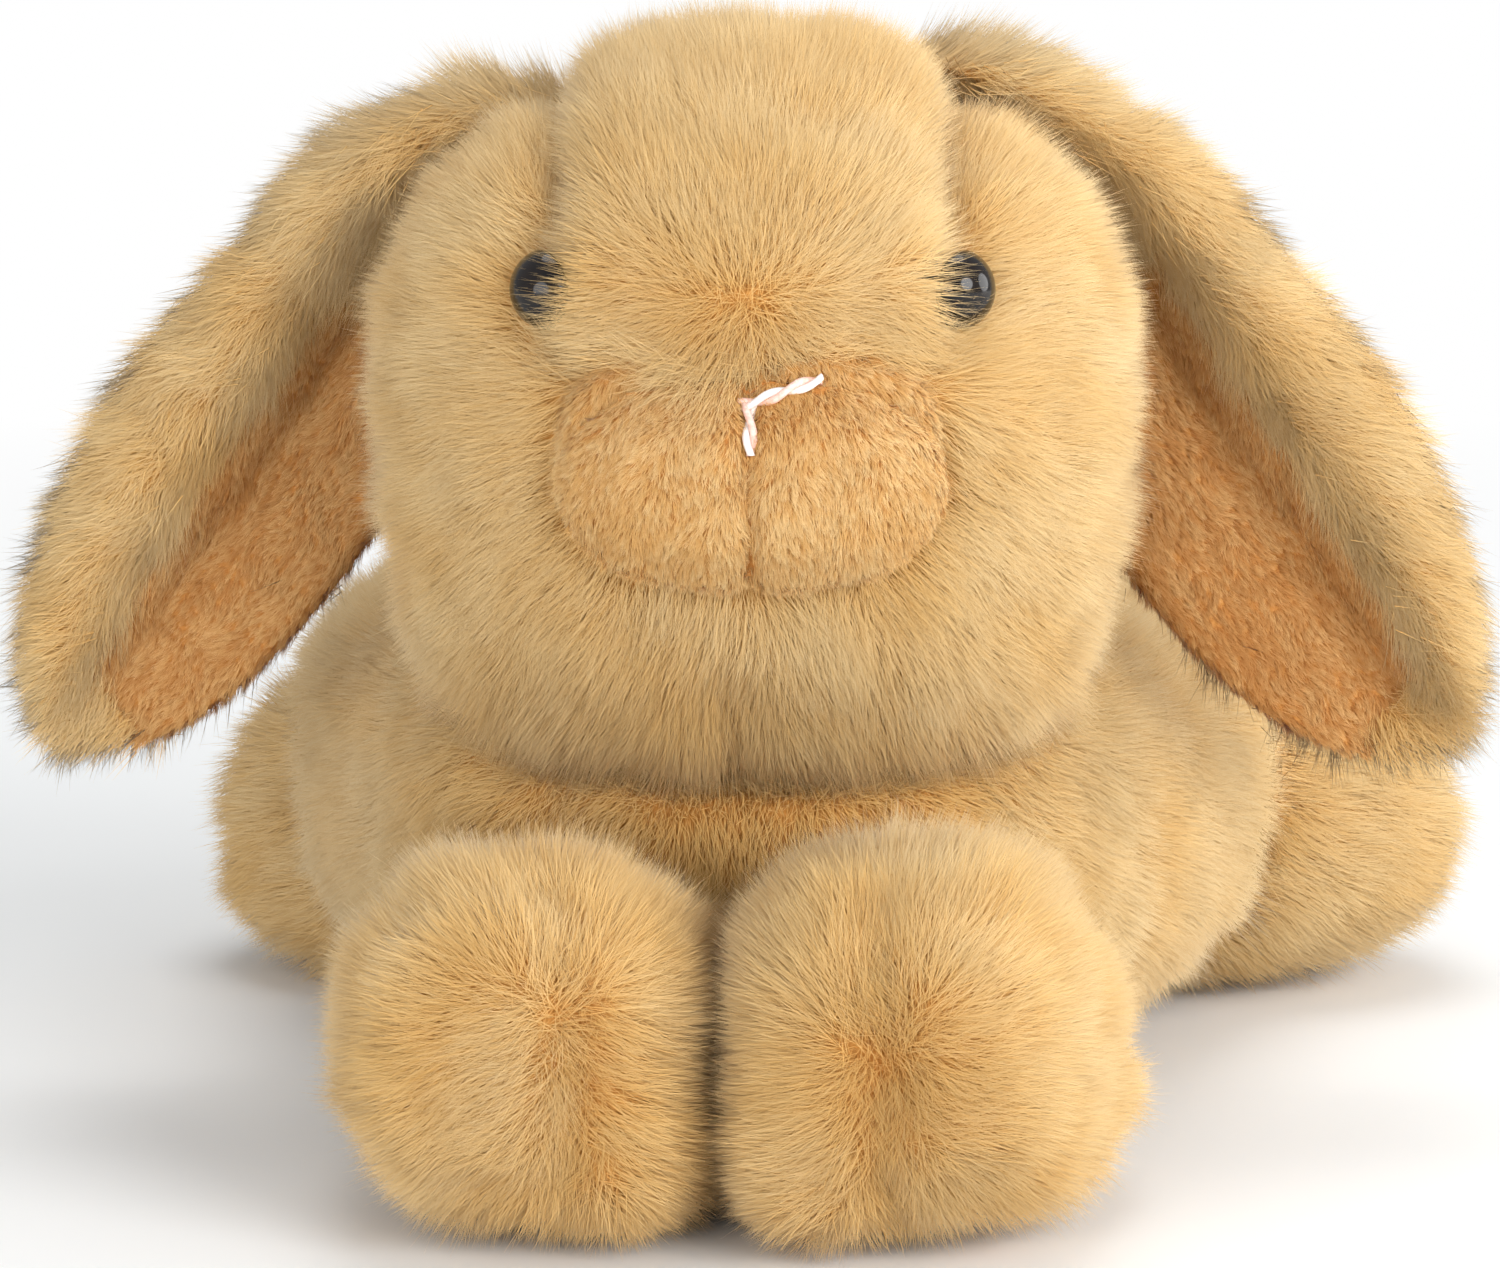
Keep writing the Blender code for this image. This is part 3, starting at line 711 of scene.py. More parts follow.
fur_coat = Coat(fur, "fur_fabric", each=20, tone=0.6)
face_coat = Coat(fur, "fur_fabric", tufts=300e3, each=30, width=0.00016, tone=0.58)
paw_coat = Coat(fur, "fur_fabric", tufts=290e3, each=28, width=0.00017, length=0.0092, tone=0.36)
ear_coat = Coat(fur, "fur_fabric", tufts=340e3, each=26, width=0.00016, length=0.0074, lift=0.54, tone=0.66)
muzzle_coat = Coat(
    muzzle_pile,
    "muzzle_velour",
    tufts=2.0e6,
    each=12,
    spread=0.0004,
    length=0.0024,
    width=0.00016,
    lift=0.48,
    gather=0.85,
    stray=0.14,
    swirl=0.22,
    wave=0.008,
    mottle=0.16,
    kind=BLADE,
)
lining_coat = replace(muzzle_coat, material=lining_pile, slot="ear_velour", tufts=1.5e6)


def centre(node):
    low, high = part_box(node)
    return (np.array(low) + np.array(high)) / 2


muzzle_low, muzzle_high = (np.array(corner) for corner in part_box("muzzle_cover"))
muzzle_middle = straight(centre("muzzle_cover")[None])[0]
muzzle_half = (muzzle_high - muzzle_low) / 2
thread_low, thread_high = (np.array(corner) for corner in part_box("nose_thread"))
nose_rise = thread_high[2] - STITCH_RISE_TO - STITCH_DROP
nose = np.array([(thread_low[0] + thread_high[0]) / 2, muzzle_low[1], nose_rise])


class Eye:
    """Place and size of an eye, read from its node: heights are along its axis from the washer."""

    def __init__(self, side):
        rows = np.array([v.co for v in frame["nodes"][f"eye_{side}"].data.vertices])
        self.base = centre(f"eye_washer_{side}")
        self.axis = unit(rows.mean(axis=0) - self.base)
        heights = (rows - self.base) @ self.axis
        away = np.linalg.norm(rows - self.base - heights[:, None] * self.axis, axis=1)
        self.top = heights.max()
        self.low = heights.min()
        self.radius = away.max()
        self.rim = heights[away > 0.98 * self.radius].mean()
        self.shank = away[heights < self.low + 0.001].max()
        self.spot = self.base + self.axis * self.rim
        self.brow = self.spot - [BROW_INWARD * np.sign(self.spot[0]), 0, 0]

    def reach(self, rows):
        """Distance of rows from the bare stretch of the eye's axis."""
        apart = rows - self.spot
        heights = np.clip(apart @ self.axis, *EYE_AXIS)
        return np.linalg.norm(apart - heights[:, None] * self.axis, axis=1)


eyes = {side: Eye(side) for side in OUTWARD}


def from_muzzle(rows):
    """Rows in the head's own frame, measured from the muzzle's middle."""
    return straight(rows) - muzzle_middle


def in_muzzle(rows):
    """How far inside the velour of the face rows lie, from 1 at its middle to 0 at its edge."""
    own = from_muzzle(rows)
    above = own[:, 2] > 0
    notch = MUZZLE_NOTCH * bell(own[:, 0] - MUZZLE_NOTCH_X, MUZZLE_NOTCH_WIDTH)
    up = MUZZLE_UP * muzzle_half[2] - notch
    x = np.abs(own[:, 0]) / (MUZZLE_ASIDE * muzzle_half[0])
    z = np.abs(own[:, 2]) / np.where(above, up, MUZZLE_DOWN * muzzle_half[2])
    power = np.where(above, MUZZLE_TOP_POWER, MUZZLE_LOW_POWER)
    inside = 1 - (x**power + z**power)
    return np.where(own[:, 1] < MUZZLE_BACK, inside, -1.0)


def beside_panel(rows):
    """Distance of rows from the seams of the forehead's panel, positive outside it."""
    x, _, z = straight(rows).T
    return np.abs(x) - PANEL_HALF - PANEL_WIDENS * ease(z, *PANEL_WIDENS_OVER)


def below_chin(z):
    return ease(CHIN_SEAM_TOP - z, 0, CHIN_FADE)


def head_dents(rows, normals):
    """Depth of the creases that the head's seams and eyes pull in."""
    x, y, z = straight(rows).T
    front = ease(neck[1] - y, *HEAD_FRONT)
    upper = ease(z, PANEL_LOW - 0.004, PANEL_LOW + 0.006)
    aside = beside_panel(rows)
    crease = np.where(x > 0, PANEL_CREASES["left"], PANEL_CREASES["right"])
    depth = crease * bell(aside, CREASE_WIDTH) * upper * (0.25 + 0.75 * front)
    swell = ease(-aside, -0.001, 0.010) * ease(z, *PANEL_SWELLS_OVER)
    depth -= PANEL_SWELL * swell * front
    depth += CROWN_IN * ease(normals[:, 2], 0.5, 0.9)
    corner = bell(np.abs(x) - PANEL_HALF, CROWN_CORNER_WIDTH)
    depth += CROWN_CORNER_IN * ease(normals[:, 2], 0.2, 0.6) * corner
    for eye in eyes.values():
        depth += SOCKET_DEPTH * bell(eye.reach(rows), SOCKET_WIDTH) * ease(aside, -0.004, 0.002)
        depth -= BROW_SWELL * bell(far_from(eye.brow, rows), BROW_WIDTH)
    depth += CHIN_CREASE * bell(x - CHIN_SEAM_X, CREASE_WIDTH) * below_chin(z) * front
    depth -= (FUR_BED - VELOUR_BED) * ease(in_muzzle(rows), 0.0, 0.15)
    return depth


def head_flow(patch):
    """Away from a whorl above the nose, then down the back of the head, parted at the chin's seam."""
    away = unit(patch.spots - nose - [0, 0, WHORL_RISE])
    back = ease(patch.spots[:, 1], neck[1] - 0.01, neck[1] + 0.04)[:, None]
    flow = away * (1 - 0.7 * back) + np.array([0, 0.2, -1.0]) * back
    x, _, z = straight(patch.spots).T
    chin = bell(x - CHIN_SEAM_X, 0.012) * below_chin(z)
    flow[:, 0] += CHIN_PARTS * chin * np.sign(x - CHIN_SEAM_X)
    return flow


def off_face(patch):
    """Where the head has no fur: on the velour, at the eyes and inside the body."""
    bare = in_muzzle(patch.spots) > 0
    margin = np.where(beside_panel(patch.spots) < 0, EYE_BARE_INSIDE, EYE_BARE)
    for eye in eyes.values():
        bare |= eye.reach(patch.spots) < margin
    return bare | skins["body"].holds(patch.spots, NECK_HIDES)


def head_trim(patch):
    """Longer under the chin and at the eyes, shorter in the panel's creases, and combed off one stitch."""
    x, _, z = patch.spots.T
    crease = bell(beside_panel(patch.spots), CREASE_WIDTH) * ease(z, PANEL_LOW, PANEL_LOW + 0.01)
    stitch = bell(x - nose[0] - STITCH_SHOWS_AT, 0.0055) * bell(z - nose[2] - 0.003, 0.0045)
    hidden = bell(x - nose[0] + STITCH_SHOWS_AT, 0.005) * bell(z - nose[2] - 0.006, 0.004)
    front = ease(neck[1] - patch.spots[:, 1], 0.03, 0.04)
    length = (1 + CHIN_LONGER * ease(CHIN_LOW - z, 0, CHIN_LOW_FADE)) * (1 - CREASE_SHORTER * crease)
    for eye in eyes.values():
        length *= 1 + BROW_LONGER * bell(far_from(eye.brow, patch.spots), BROW_WIDTH)
    return length * (1 + (FRINGE_LONGER * hidden - STITCH_BARED * stitch) * front)


def head_rise(patch):
    """Upright in the whorl."""
    return WHORL_UPRIGHT * bell(far_from(nose + [0, 0.004, WHORL_RISE], patch.spots), WHORL_WIDTH)


def head_painted_shade(patch):
    x, _, z = straight(patch.spots).T
    # painted shade along the chin's seam, in its crease below the chin
    return -CHIN_SEAM_PAINTED_SHADE * bell(x - CHIN_SEAM_X, 0.005) * below_chin(z)


def off_velour(patch):
    """Where the head's skin has no velour: off the muzzle's zone and inside the muzzle itself."""
    return (in_muzzle(patch.spots) < 0) | skins["muzzle"].holds(patch.spots, MUZZLE_HIDES)


def body_flow(patch):
    """Back along the body, but down and aside on the chest."""
    fore = ease(neck[1] + 0.02 - patch.spots[:, 1], 0, 0.03)[:, None]
    away = unit((patch.spots - neck) * [1, 1, 0]) - [0, 0, 0.9]
    return np.array([0.0, 1.0, -0.7]) * (1 - fore) + away * fore


def body_dents(rows, normals):
    right = ease(-rows[:, 0], *SHOULDER_ASIDE)
    return -SHOULDER_OUT * right * ease(normals[:, 2], 0.1, 0.5)


def chest(patch):
    """How far spots are on the chest, below the chin and between the legs."""
    x, y, _ = patch.spots.T
    return ease(neck[1] - y, -0.01, 0.02) * ease(CHEST_HALF - np.abs(x), 0, CHEST_FADE)


def body_trim(patch):
    return 1 - CHEST_SHORTER * chest(patch)


def body_painted_shade(patch):
    # painted shade on the chest, below the chin and between the legs
    return -CHEST_PAINTED_SHADE * chest(patch)


def off_body(patch):
    hidden = skins["head"].holds(patch.spots, NECK_HIDES) | skins["tail"].holds(patch.spots, NECK_HIDES)
    for leg in LEGS:
        hidden |= skins[leg].holds(patch.spots, LEG_HIDES)
    return hidden


def in_body(patch):
    return skins["body"].holds(patch.spots, LEG_HIDES)


def off_seam(side, rows):
    """Distance of rows from the seam down a paw's front."""
    _, top = PAW_PARTING[side]
    return rows[:, 0] - PAW_SEAM_X[side] - PAW_SEAM_LEAN[side] * ease(rows[:, 2], top, top + 0.03)


def parting(side, patch):
    """How far spots lie in the parting of a paw's fur."""
    low, top = PAW_PARTING[side]
    z = patch.spots[:, 2]
    high = ease(z, low - 0.004, low + 0.002) * (1 - ease(z, top - 0.002, top + 0.006))
    front = ease(-patch.normals[:, 1], *FRONT_FACING)
    return bell(off_seam(side, patch.spots), PAW_PARTING_WIDTH) * high * front


def paw_dents(side):
    """The seam down a paw's front, and where its sides lie further in or out than the CAD's."""
    outward = OUTWARD[side]

    def dents(rows, normals):
        front = ease(-normals[:, 1], *FRONT_FACING)
        low = ease(-normals[:, 2], 0.0, 0.6)
        outer = ease(outward * normals[:, 0], 0.2, 0.8)
        inner = ease(-outward * normals[:, 0], 0.0, 0.6)
        depth = PAW_CREASE * bell(off_seam(side, rows), CREASE_WIDTH) * front
        depth += PAW_TOE_IN * ease(-normals[:, 2], 0.1, 0.5) * ease(-normals[:, 1], 0.0, 0.3)
        depth += PAW_TOP_IN[side] * ease(normals[:, 2], 0.1, 0.8)
        depth += PAW_SIDE_IN * outer * (1 - low) + PAW_CORNER_IN[side] * outer * low
        return depth - PAW_INNER_OUT * inner * low

    return dents


def paw_looks(side):
    """A paw's fur: short, upright and darker with painted shade at its seam, and short at its toe."""

    def trim(patch):
        toe = ease(TOE_TOP - patch.spots[:, 2], 0, TOE_FADE) * ease(-patch.normals[:, 1], 0, 0.4)
        return (1 - PARTING_SHORTER * parting(side, patch)) * (1 - TOE_SHORTER * toe)

    def tint(patch):
        # painted shade in the parting and along the seam's crease
        front = ease(-patch.normals[:, 1], *FRONT_FACING)
        seam = bell(off_seam(side, patch.spots), 0.0016)
        return -PARTING_PAINTED_SHADE * parting(side, patch) - PAW_SEAM_PAINTED_SHADE * seam * front

    def rise(patch):
        return PARTING_UPRIGHT * parting(side, patch)

    return {"trim": trim, "tint": tint, "rise": rise}


def paw_flow(side):
    """Away from the parting on the front of the paw, and back along the leg."""
    low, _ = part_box(f"front_leg_{side}_cover")

    def flow(patch):
        seam = np.empty_like(patch.spots)
        seam[:, 0] = PAW_SEAM_X[side]
        seam[:, 1] = low[1] + 0.002
        seam[:, 2] = np.clip(patch.spots[:, 2], *PAW_PARTING[side])
        return unit(patch.spots - seam) - np.array([0, 0, 0.10])

    return flow


def hind_dents(side):
    outward = OUTWARD[side]

    def dents(rows, normals):
        outer = ease(outward * normals[:, 0], -0.2, 0.5)
        above = ease(normals[:, 2], 0.0, 0.6)
        below = ease(-normals[:, 2], -0.2, 0.6)
        return outer * (HIND_SIDE_IN[side] + HIND_TOP_IN[side] * above + HIND_LOW_IN[side] * below)

    return dents


def hind_flow(side):
    return lambda patch: np.tile([OUTWARD[side], 0.15, -0.45], (len(patch.spots), 1))


def tail_flow(patch):
    return np.tile([0.0, 0.3, -1.0], (len(patch.spots), 1))


class Ear:
    """An ear's sheet: places by shares along it and across it, and a height off its face."""

    def __init__(self, side):
        self.outward = OUTWARD[side]
        pivot = np.array([joints[f"ear_{side}_lift"]["pos_m"]])
        root = straight(pivot)[0] - [0, 0, EAR_HINGE_INSET]
        tip = np.array([self.outward * EAR_REACH, -EAR_FORWARD, -EAR_DROP])
        bulge = np.array([-self.outward * EAR_BOW_IN, 0.5 * EAR_FORWARD, EAR_BOW_UP])
        self.side = side
        self.start = LINING_STARTS[side]
        self.lean = np.array([-self.outward * EAR_ROOT_IN, 0, -EAR_ROOT_DOWN[side]])
        self.path = np.array([root, root + tip / 2 + bulge, root + tip])
        self.widths = np.array([EAR_ROOT_WIDTH, *(part * EAR_WIDTH for part in EAR_WIDTHS)])

    def lines(self, share):
        """Ways along, across and off the sheet."""
        before = along(self.path, np.clip(share - 0.02, 0, 0.98))
        heading = unit(along(self.path, np.clip(share + 0.02, 0.02, 1)) - before)
        across = unit(np.cross([-self.outward * EAR_FACE_IN, -1.0, 0.0], heading) * self.outward)
        return heading, across, np.cross(heading, across) * self.outward

    def ends(self, share):
        return np.maximum(EAR_END_SHARE, 1 - np.abs(2 * share - 1) ** EAR_END_POWER)

    def cap(self, share):
        """Share of its size that the ear has in the round cap of its root."""
        back = np.clip((EAR_ROOT_END - share) / (EAR_ROOT_END + EAR_ROOT_BACK), 0, 0.999)
        return np.sqrt(1 - back**2)

    def half(self, share):
        inside = np.maximum(share, EAR_ROOT_END)
        return along(self.widths, inside) / 2 * self.ends(inside) * self.cap(share)

    def spots(self, share, across, height):
        _, beside, off = self.lines(share)
        cup = EAR_CUP * self.ends(share) * across**2
        rows = along(self.path, share) + beside * (self.half(share) * across)[:, None]
        rows = rows + self.lean * np.maximum(0, 1 - share[:, None] / EAR_LEAN_SPAN) ** 2
        return turned(rows + off * (cup + height)[:, None], HEAD_TURN)

    def skin(self, name):
        """The fur fabric: a leaf with a round root and an outer half that swells forward."""
        steps = np.linspace(-EAR_ROOT_BACK, EAR_SKIN_END[self.side], EAR_RINGS)
        share, turn = np.meshgrid(steps, circle(EAR_SIDES), indexing="ij")
        shape = share.shape
        share, turn = share.ravel(), turn.ravel()
        half = self.half(share)
        upper = ease(share, 0.0, 0.1) * (1 - ease(share, 0.35, 0.6))
        outer = np.cos(turn) > 0
        low = ease(share, 0.3, 0.6)
        lower = EAR_OUTER_IN[self.side] * ease(share, 0.6, 0.8)
        inset = EAR_EDGE_IN + (EAR_TOP_IN * upper + lower) * outer
        inset = inset + (LINING_EDGE - EAR_INNER_SHARE[self.side]) * half * low * ~outer
        across = np.cos(turn) * np.maximum(half - inset, 0.3 * half) / half
        front = np.sin(turn)
        depth = EAR_HALF_DEPTH + EAR_ROOT_SWELL * (1 - ease(share, 0, 0.4))
        roll = EAR_ROLL * bell(across - EAR_ROLL_AT, EAR_ROLL_WIDTH) * ease(1 - share, 0.02, 0.15)
        height = EAR_MIDDLE + depth * front * self.cap(share) + roll * ease(front, 0, 0.5)
        height -= EAR_EDGE_BACK * ease(across, 0.4, 1)
        lined = ease(self.fur_limit(share) - across, -0.02, 0.12)
        height -= EAR_LINED_IN * lined * ease(front, 0, 0.5)
        rings = self.spots(share, across, height).reshape(*shape, 3)
        marks = np.stack([share, across, front], axis=1)
        closing = np.array([[share[0], 0, 0], [share[-1], 0, 0]])
        return Skin(name, loft_mesh(name, rings), np.concatenate([marks, closing]))

    def lining(self, name):
        """The velour: a thin sheet with a fold along it."""
        lines = np.linspace(*LINING_SPAN, LINING_RINGS)
        share, step = np.meshgrid(lines, np.linspace(0, 1, LINING_SIDES), indexing="ij")
        line = share.ravel()
        risen = ease(line, self.start - 0.05, self.start + 0.02)
        first = -LINING_EDGE + (LINING_EDGE - EAR_INNER_SHARE[self.side]) * ease(line, 0.3, 0.6)
        first += LINING_TAPER * (1 - risen)
        across = first + (LINING_ACROSS - first) * step.ravel()
        fold = bell(across - LINING_FOLD_AT - 0.1 * line, 0.15) * ease(line, 0.2, 0.45)
        fold *= 1 - 0.7 * ease(line, 0.6, 0.9)
        edge = (1 - np.abs(2 * step.ravel() - 1) ** 8) * (1 - ease(line, *LINING_ENDS))
        edge *= risen
        face = LINING_BACK + (LINING_HEIGHT - LINING_BACK - LINING_FOLD * fold) * edge
        back = np.full(len(line), LINING_BACK - 0.0003)
        rows = [self.spots(line, across, height).reshape(*share.shape, 3) for height in (face, back)]
        rings = np.concatenate([rows[0], rows[1][:, -2:0:-1]], axis=1)
        marks = np.zeros(rings.shape)
        marks[..., 0] = share[:, :1]
        face_marks = [share, across.reshape(share.shape), np.ones(share.shape)]
        marks[:, : step.shape[1]] = np.stack(face_marks, axis=2)
        return Skin(name, loft_mesh(name, rings), np.concatenate([marks.reshape(-1, 3), np.zeros((2, 3))]))

    def flow(self, patch):
        """Down the ear and out to its edges."""
        share, across, front = patch.marks.T
        heading, beside, _ = self.lines(share)
        facing = ease(front, -0.3, 0.3)[:, None]
        flow = heading + 0.55 * beside * (facing + (1 - facing) * across[:, None])
        return with_head(flow)

    def fur_limit(self, share):
        """How far across the front the lining reaches."""
        opened = ease(share, self.start - 0.05, self.start + 0.12)
        opened = opened * (1 - ease(share, *LINING_ENDS))
        return -1.3 + (FUR_EDGE + 1.3) * opened

    def bare(self, patch):
        """Where the ear has no fur: on the lining's side of the fur's edge and deep inside the head."""
        share, across, front = patch.marks.T
        lined = (front > 0.05) & (across < self.fur_limit(share))
        return lined | skins["head"].holds(patch.spots, EAR_HIDES)

    def trim(self, patch):
        return 1 + EAR_ROOT_LONGER * (1 - ease(patch.marks[:, 0], 0, 0.35))

    def lining_flow(self, patch):
        share, across, _ = patch.marks.T
        heading, beside, _ = self.lines(np.clip(share, 0, 1))
        flow = heading - beside * (0.7 * ease(across, 0.0, 0.3))[:, None]
        return with_head(flow)

    def lining_streaks_and_painted_light(self, patch):
        """Streaks along the ear, on a tone that is painted light on the right ear and painted shade on the
        left.
        """
        share, across, _ = patch.marks.T
        places = np.stack([across * EAR_WIDTH / 2, share * STREAK_STRETCH, 0 * share], axis=1)
        return LINING_PAINTED_LIGHT_AND_SHADE[self.side] + STREAK_TONE * streaks(places)

    def lining_bare(self, patch):
        return patch.marks[:, 2] < 0.5


def muzzle_dents(rows, normals):
    own = from_muzzle(rows)
    return MUZZLE_CREASE * bell(own[:, 0], MUZZLE_SEAM_WIDTH)


def muzzle_flow(patch):
    """Down and aside from the nose."""
    own = from_muzzle(patch.spots)
    return np.stack([own[:, 0] * 10, np.zeros(len(own)), np.full(len(own), -0.6)], axis=1)


def muzzle_streaks_and_painted_shade(patch):
    """Streaks, with painted shade along the middle seam's crease and a painted shadow below the fur's edge,
    which hangs over the velour.
    """
    own = from_muzzle(patch.spots)
    top = ease(own[:, 2], 0.4 * muzzle_half[2], 0.9 * muzzle_half[2])
    seam = bell(own[:, 0], 0.0018)
    # streaks, less painted shade at the seam and a painted shadow below the fringe
    return STREAK_TONE * streaks(own * [1, 1, 0.25]) - MUZZLE_SEAM_PAINTED_SHADE * seam - MUZZLE_TOP_PAINTED_SHADOW * top


def muzzle_hidden(patch):
    own = from_muzzle(patch.spots)
    return (np.abs(own[:, 0]) < MUZZLE_PARTING) | skins["head"].holds(patch.spots, FACE_HIDES)


streaks = Ripple(3, STREAK_WIDTH)
ears = {side: Ear(side) for side in OUTWARD}
LEGS = [f"{leg}_leg_{side}" for leg in ("front", "hind") for side in OUTWARD]
skins = {
    "body": node_skin("body", FUR_BED, body_dents),
    "head": node_skin("head", FUR_BED, head_dents),
    "tail": node_skin("tail", FUR_BED),
    "muzzle": node_skin("muzzle", VELOUR_BED, muzzle_dents, MUZZLE_VOXEL, MUZZLE_ROUNDS),
}
for side, ear in ears.items():
    front = f"front_leg_{side}"
    hind = f"hind_leg_{side}"
    skins[front] = node_skin(front, FUR_BED, paw_dents(side))
    skins[hind] = node_skin(hind, FUR_BED, hind_dents(side))
    skins[f"ear_{side}"] = ear.skin(f"ear_{side}_skin")
    skins[f"lining_{side}"] = ear.lining(f"ear_{side}_velour")

for name in ["body", "head", "tail", *LEGS]:
    cover = skins[name].object
    dress(cover, fur_cloth, name, "fur_fabric", f"{name}_cover", f"{name}_stuffing")
muzzle = skins["muzzle"].object
dress(muzzle, velour_cloth, "head", "muzzle_velour", "muzzle_cover", "muzzle_stuffing")
for side in ears:
    title = f"ear_{side}"
    dress(skins[title].object, fur_cloth, title, "fur_fabric", f"{title}_back")
    dress(skins[f"lining_{side}"].object, velour_cloth, title, "ear_velour", f"{title}_lining")

grow("head_fur", skins["head"], face_coat, head_flow, "head", 11, off_face, head_trim, head_painted_shade, head_rise)
grow("body_fur", skins["body"], fur_coat, body_flow, "body", 23, off_body, body_trim, body_painted_shade)
grow("tail_fur", skins["tail"], fur_coat, tail_flow, "tail", 37, in_body)
grow("muzzle_pile", skins["muzzle"], muzzle_coat, muzzle_flow, "head", 41, muzzle_hidden, tint=muzzle_streaks_and_painted_shade)
grow("face_pile", skins["head"], muzzle_coat, muzzle_flow, "head", 43, off_velour, tint=muzzle_streaks_and_painted_shade)
for k, (side, ear) in enumerate(ears.items()):
    front = f"front_leg_{side}"
    hind = f"hind_leg_{side}"
    grow(f"{front}_fur", skins[front], paw_coat, paw_flow(side), front, 53 + k, in_body, **paw_looks(side))
    grow(f"{hind}_fur", skins[hind], fur_coat, hind_flow(side), hind, 67 + k, in_body)
    title = f"ear_{side}"
    grow(f"{title}_fur", skins[title], ear_coat, ear.flow, title, 79 + k, ear.bare, ear.trim)
    lining = skins[f"lining_{side}"]
    looks = {"bare": ear.lining_bare, "tint": ear.lining_streaks_and_painted_light}
    grow(f"{title}_pile", lining, lining_coat, ear.lining_flow, title, 97 + k, **looks)

# Eyes: glossy domes on their shanks
for side, eye in eyes.items():
    dome = eye.top - eye.rim
    sphere = (eye.radius**2 + dome**2) / (2 * dome)
    turn = np.linspace(0, math.asin(eye.radius / sphere), 16)
    radii = [*(sphere * np.sin(turn)), 0.98 * eye.radius, eye.shank, eye.shank]
    heights = [*(eye.top - sphere * (1 - np.cos(turn))), eye.rim - 0.0002, eye.rim - 0.0003, eye.low]
    place = Vector(eye.axis).to_track_quat("Z", "Y").to_matrix()
    around = circle(EYE_SIDES)
    rings = []
    for radius, height in zip(radii, heights):
        level = np.full(EYE_SIDES, height)
        ring = np.stack([radius * np.cos(around), radius * np.sin(around), level], axis=1)
        rings.append(eye.base + ring @ np.array(place).T)
    ball = link(f"eye_{side}_dome", loft_mesh(f"eye_{side}_dome", np.array(rings[1:])))
    ball.data.shade_smooth()
    dress(ball, eye_plastic, "head", "eye_plastic", f"eye_{side}")
    washer = frame["nodes"][f"eye_washer_{side}"].data
    washer.materials.clear()
    washer.materials.append(washer_plastic)


def on_face(x, z, sunk=0.0):
    """Spot for a thread that lies on the muzzle or the face, or is sunk into it."""
    start = Vector((x, muzzle_low[1] - 0.05, z))
    hits = [skins[name].tree.ray_cast(start, Vector((0, 1, 0))) for name in ("muzzle", "head")]
    near = min((hit for hit in hits if hit[0]), key=lambda hit: hit[3])
    return np.array(near[0]) + np.array(near[1]) * (2 * PLY_RADIUS - sunk)


def stitch(name, points):
    """One stitch of two plies twisted about each other."""
    path = along(np.array(points), np.linspace(0, 1, THREAD_STEPS))
    steps = np.linalg.norm(np.diff(path, axis=0), axis=1)
    run = np.concatenate([[0], np.cumsum(steps)])
    heading = unit(np.gradient(path, axis=0))
    side = unit(np.cross(heading, [0, 1.0, 0]))
    off = np.cross(side, heading)
    around = circle(THREAD_SIDES)
    for ply, (tone, start) in enumerate(((white_thread, 0.0), (pink_thread, math.pi))):
        turn = (start + 2 * math.pi * run / PLY_TWIST)[:, None]
        middle = path + PLY_RADIUS * (side * np.cos(turn) + off * np.sin(turn))
        rings = middle[:, None] + PLY_RADIUS * (
            side[:, None] * np.cos(around)[:, None] + off[:, None] * np.sin(around)[:, None]
        )
        made = link(f"{name}_ply_{ply + 1}", loft_mesh(name, rings))
        made.data.shade_smooth()
        dress(made, tone, "head", "thread", "nose_thread")


arm_rise = nose[2] + STITCH_RISE_TO
stitch(
    "nose_cross",
    [
        on_face(thread_low[0], arm_rise, 2 * STITCH_SUNK),
        on_face((thread_low[0] + nose[0]) / 2, nose[2] + STITCH_RISE_TO / 2, STITCH_SUNK),
        on_face(nose[0], nose[2]),
        on_face((nose[0] + thread_high[0]) / 2, nose[2] + STITCH_RISE_TO / 2),
        on_face(thread_high[0], arm_rise),
    ],
)
stitch("nose_down", [on_face(nose[0], z) for z in np.linspace(nose[2], thread_low[2], 4)])

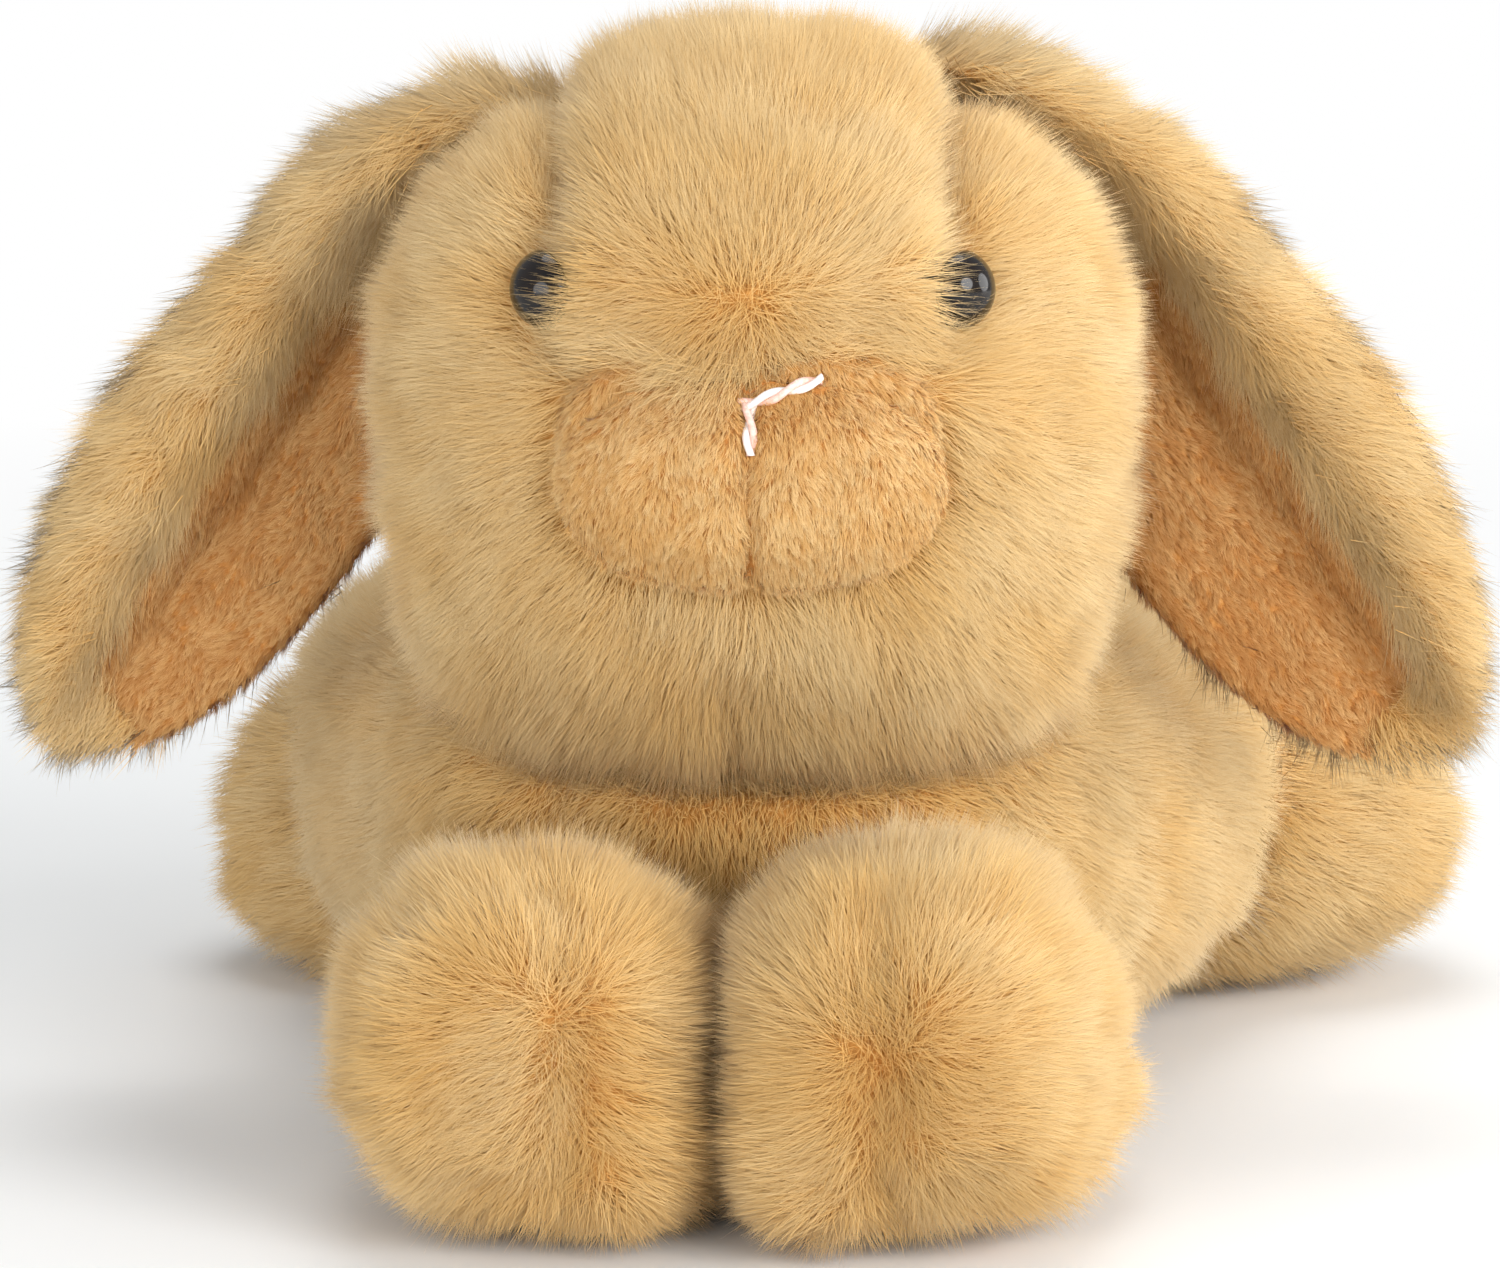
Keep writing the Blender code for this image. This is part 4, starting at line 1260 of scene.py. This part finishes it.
# Stage, light and camera
floor_mesh = bpy.data.meshes.new("floor")
bm = bmesh.new()
bmesh.ops.create_circle(bm, cap_ends=True, segments=96, radius=FLOOR_RADIUS)
bm.to_mesh(floor_mesh)
bm.free()
floor = link("floor", floor_mesh)
floor_white, tree, shader = new_material("floor_white")
settings(shader, Base_Color=(0.93, 0.93, 0.92, 1.0), Roughness=0.9)
place = new_node(tree, "TexCoord")
distance = new_node(tree, "VectorMath", place.outputs["Object"])
distance.operation = "LENGTH"
fade = new_node(tree, "MapRange", distance.outputs["Value"])
settings(fade, From_Min=FLOOR_FADE[0], From_Max=FLOOR_FADE[1])
rays = new_node(tree, "LightPath")
seen = new_node(tree, "Math", fade.outputs["Result"], rays.outputs["Is Camera Ray"])
seen.operation = "MULTIPLY"
glow = new_node(tree, "Emission")
mix = new_node(tree, "MixShader", seen.outputs["Value"], shader.outputs["BSDF"], glow.outputs["Emission"])
tree.links.new(mix.outputs["Shader"], tree.nodes["Material Output"].inputs["Surface"])
floor_mesh.materials.append(floor_white)

world = bpy.data.worlds.new("studio")
bpy.context.scene.world = world
world.use_nodes = True
tree = world.node_tree
sky = tree.nodes["Background"]
settings(sky, Color=(0.94, 0.97, 1.0, 1.0), Strength=SKY_LIGHT)
backdrop = new_node(tree, "Background")
seen = new_node(tree, "LightPath").outputs["Is Camera Ray"]
mix = new_node(tree, "MixShader", seen, sky.outputs["Background"], backdrop.outputs["Background"])
tree.links.new(mix.outputs["Shader"], tree.nodes["World Output"].inputs["Surface"])

for name, spot, size, power in LAMPS:
    light = bpy.data.lights.new(name, "AREA")
    light.shape = "DISK"
    light.size = size
    light.energy = power
    lamp = link(name, light)
    lamp.location = spot
    lamp.rotation_euler = (CAMERA_TARGET - Vector(spot)).to_track_quat("-Z", "Y").to_euler()

camera_data = bpy.data.cameras.new("camera")
camera_data.sensor_fit = "HORIZONTAL"
camera_data.sensor_width = SENSOR_WIDTH
camera_data.lens = FOCAL_PIXELS * SENSOR_WIDTH / FRAME_WIDTH
camera = link("camera", camera_data)
level = math.cos(CAMERA_RISE)
towards = Vector(
    (math.sin(CAMERA_AZIMUTH) * level, -math.cos(CAMERA_AZIMUTH) * level, math.sin(CAMERA_RISE))
)
camera.location = CAMERA_TARGET + towards * CAMERA_REACH
camera.rotation_euler = towards.to_track_quat("Z", "Y").to_euler()
bpy.context.scene.camera = camera
bpy.context.scene.view_settings.view_transform = "Standard"
